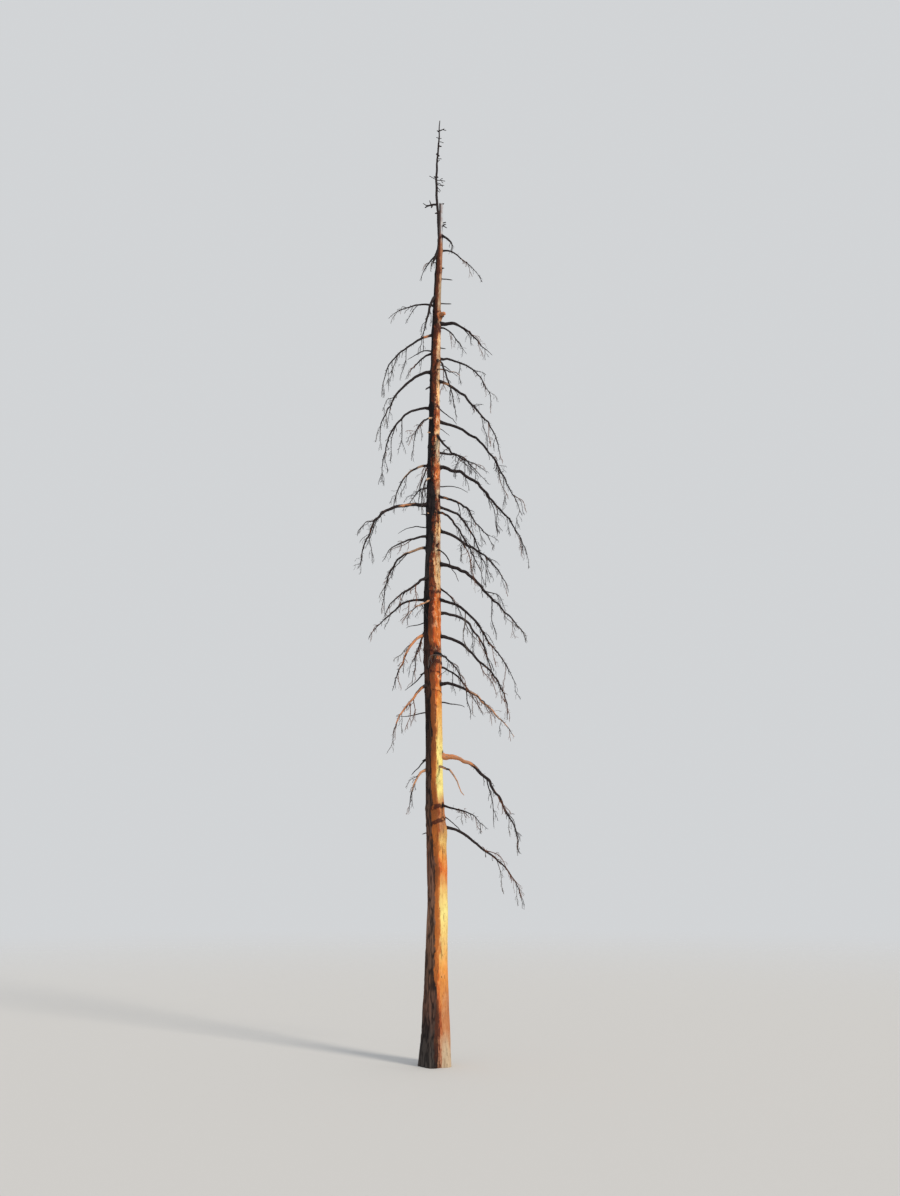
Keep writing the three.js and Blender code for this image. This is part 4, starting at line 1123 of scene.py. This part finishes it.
sprigs = []
for parents, kind in ((limbs, "limb"), (shoots, "shoot"), (twigs, "twig")):
    for parent in parents:
        sprigs += grown(parent, SPRIG_RULE, SPRIGS_FROM[kind])
tips = []
for sprig in sprigs:
    if sprig.length > LEAST_FORKED:
        tips += grown(sprig, TIP_RULE, SPRIGS_FROM["sprig"])
for branch in sprigs + tips:
    branch.smooth(SPRIG_STEP, branch.parent.on_line(branch.share))
make_growth("sprigs", sprigs, twig_finishes, SPRIG_SIDES, SPRIG_RELIEF)
make_growth("tips", tips, twig_finishes, TIP_SIDES, TIP_RELIEF)

# Spurs: the short woody knobs that stand all along the outer limbs, shoots and twigs, where each
# bud or needle tuft once sat. They are as hard as the wood that they grew out of.
SPUR_SPACING = 0.042
SPUR_LENGTHS = (0.012, 0.05)
SPUR_TILTS = (math.radians(40), math.radians(85))
SPUR_GIRTH, SPUR_LEAST, SPUR_MOST = 0.45, 0.004, 0.009
SPUR_SIDES, SPUR_SEED = 4, 3
SPURS_FROM = 0.3

spur_tree, nodes, given = new_tree("branch_spurs", {
    "Spacing": "NodeSocketFloat", "Shortest": "NodeSocketFloat", "Longest": "NodeSocketFloat",
    "Seed": "NodeSocketInt", "Finish": "NodeSocketMaterial",
})


def random_value(low, high, shift):
    """A seeded value between two numbers for each spur."""
    values = {"Min": low, "Max": high, "Seed": given["Seed"] + shift}
    return nodes.add("FunctionNodeRandomValue", {"data_type": "FLOAT"}, values)


paths = nodes.add("GeometryNodeMeshToCurve", {}, {"Mesh": given["Geometry"]})
spots = nodes.add("GeometryNodeCurveToPoints", {"mode": "LENGTH"}, {
    "Curve": paths, "Length": given["Spacing"],
})
ahead = Socket(nodes, next(s for s in spots.socket.node.outputs if s.name == "Rotation"))
spin = nodes.add("ShaderNodeCombineXYZ", {}, {"Z": random_value(0.0, 2 * math.pi, 1)})
tilt = nodes.add("ShaderNodeCombineXYZ", {}, {"X": random_value(*SPUR_TILTS, 2)})
spun = nodes.add("FunctionNodeRotateRotation", {"rotation_space": "LOCAL"}, {
    "Rotation": ahead, "Rotate By": nodes.add("FunctionNodeEulerToRotation", {}, {0: spin}),
})
leaning = nodes.add("FunctionNodeRotateRotation", {"rotation_space": "LOCAL"}, {
    "Rotation": spun, "Rotate By": nodes.add("FunctionNodeEulerToRotation", {}, {0: tilt}),
})
girth = nodes.add("GeometryNodeInputNamedAttribute", {}, {"Name": "width"})
long = random_value(given["Shortest"], given["Longest"], 3) + girth / 2
wide = nodes.add("ShaderNodeClamp", {}, {"Value": girth * SPUR_GIRTH, "Min": SPUR_LEAST, "Max": SPUR_MOST})
spur = nodes.add("GeometryNodeMeshCone", {}, {
    "Vertices": SPUR_SIDES, "Side Segments": 2, "Radius Top": 0.2, "Radius Bottom": 0.5, "Depth": 1.0,
})
size = nodes.add("ShaderNodeCombineXYZ", {}, {"X": wide, "Y": wide, "Z": long})
placed = nodes.add("GeometryNodeInstanceOnPoints", {}, {
    "Points": spots, "Instance": spur, "Rotation": leaning, "Scale": size,
})
end_tree(nodes, placed, given["Finish"])


def outer_course(branch):
    """The part of a branch's fine course that spurs stand on."""
    first = int(SPURS_FROM * len(branch.line))
    return SimpleNamespace(line=branch.line[first:], girths=branch.girths[first:], owner=branch.owner)


spurred = {tone: [] for tone in range(len(TONES))}
for branch in limbs + shoots + twigs:
    spurred[getattr(branch, "tone", 0)].append(outer_course(branch))
for tone, courses in spurred.items():
    name = f"spurs_{TONES[tone][0]}"
    piece = made_by(spur_tree, name, skeleton(name, courses), {
        "Spacing": SPUR_SPACING, "Shortest": SPUR_LENGTHS[0], "Longest": SPUR_LENGTHS[1],
        "Seed": SPUR_SEED + tone, "Finish": twig_finishes[tone],
    })
    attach(piece, "root")
    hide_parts(*sorted({f"twigs_{limbs[course.owner].number}" for course in courses}))

# Stage and light: a plain pale floor that fades out toward its rim, a pale room that lights every
# side, and one soft warm key light from the front right. The camera stands low and is tilted up.
CAMERA_PLACE = (0.255, -21.53, 3.27)
CAMERA_PITCH = math.radians(14.4)
PHOTO_HEIGHT, FOCAL_PIXELS, SENSOR_HEIGHT = 1196, 1100, 36
FARTHEST_SEEN = 500
FLOOR_TONE, FLOOR_SIDES, FLOOR_RADIUS, FLOOR_SOLID = 0.6, 96, 60, 9
KEY_STRENGTH, KEY_COLOR, KEY_SPREAD = 2.7, (1, 0.9, 0.76), math.radians(12)
KEY_TURN = (math.radians(62), 0, math.radians(45))
ROOM_COLOR, ROOM_STRENGTH = (0.86, 0.88, 0.9), 0.75

camera_data = bpy.data.cameras.new("camera")
camera_data.lens = FOCAL_PIXELS / PHOTO_HEIGHT * SENSOR_HEIGHT
camera = bpy.data.objects.new("camera", camera_data)
camera.location = CAMERA_PLACE
camera.rotation_euler = (math.pi / 2 + CAMERA_PITCH, 0, 0)
camera_data.clip_end = FARTHEST_SEEN
bpy.context.scene.collection.objects.link(camera)
bpy.context.scene.camera = camera

floor_finish, nodes = new_finish("pale_floor")
place = nodes.add("ShaderNodeTexCoord", {}, {}, "Object")
out = nodes.add("ShaderNodeVectorMath", {"operation": "LENGTH"}, {0: place}, "Value")
nodes.end({
    "Base Color": (FLOOR_TONE, FLOOR_TONE, FLOOR_TONE, 1), "Roughness": 0.9,
    "Alpha": 1 - out.between(FLOOR_SOLID, FLOOR_RADIUS),
})
turns = [2 * math.pi * i / FLOOR_SIDES for i in range(FLOOR_SIDES)]
floor_points = [(FLOOR_RADIUS * math.cos(turn), FLOOR_RADIUS * math.sin(turn), 0) for turn in turns]
floor_mesh = bpy.data.meshes.new("floor")
floor_mesh.from_pydata(floor_points, [], [tuple(range(FLOOR_SIDES))])
floor_mesh.materials.append(floor_finish)
floor = bpy.data.objects.new("floor", floor_mesh)
bpy.context.scene.collection.objects.link(floor)

sun_data = bpy.data.lights.new("key", "SUN")
sun_data.energy = KEY_STRENGTH
sun_data.angle = KEY_SPREAD
sun_data.color = KEY_COLOR
sun = bpy.data.objects.new("key", sun_data)
sun.rotation_euler = KEY_TURN
bpy.context.scene.collection.objects.link(sun)

world = bpy.data.worlds.new("room")
world.use_nodes = True
world.node_tree.nodes.clear()
room = Nodes(world.node_tree)
shade = room.add("ShaderNodeBackground", {}, {"Color": (*ROOM_COLOR, 1), "Strength": ROOM_STRENGTH})
room.add("ShaderNodeOutputWorld", {}, {"Surface": shade})
bpy.context.scene.world = world
bpy.context.scene.view_settings.view_transform = "Standard"
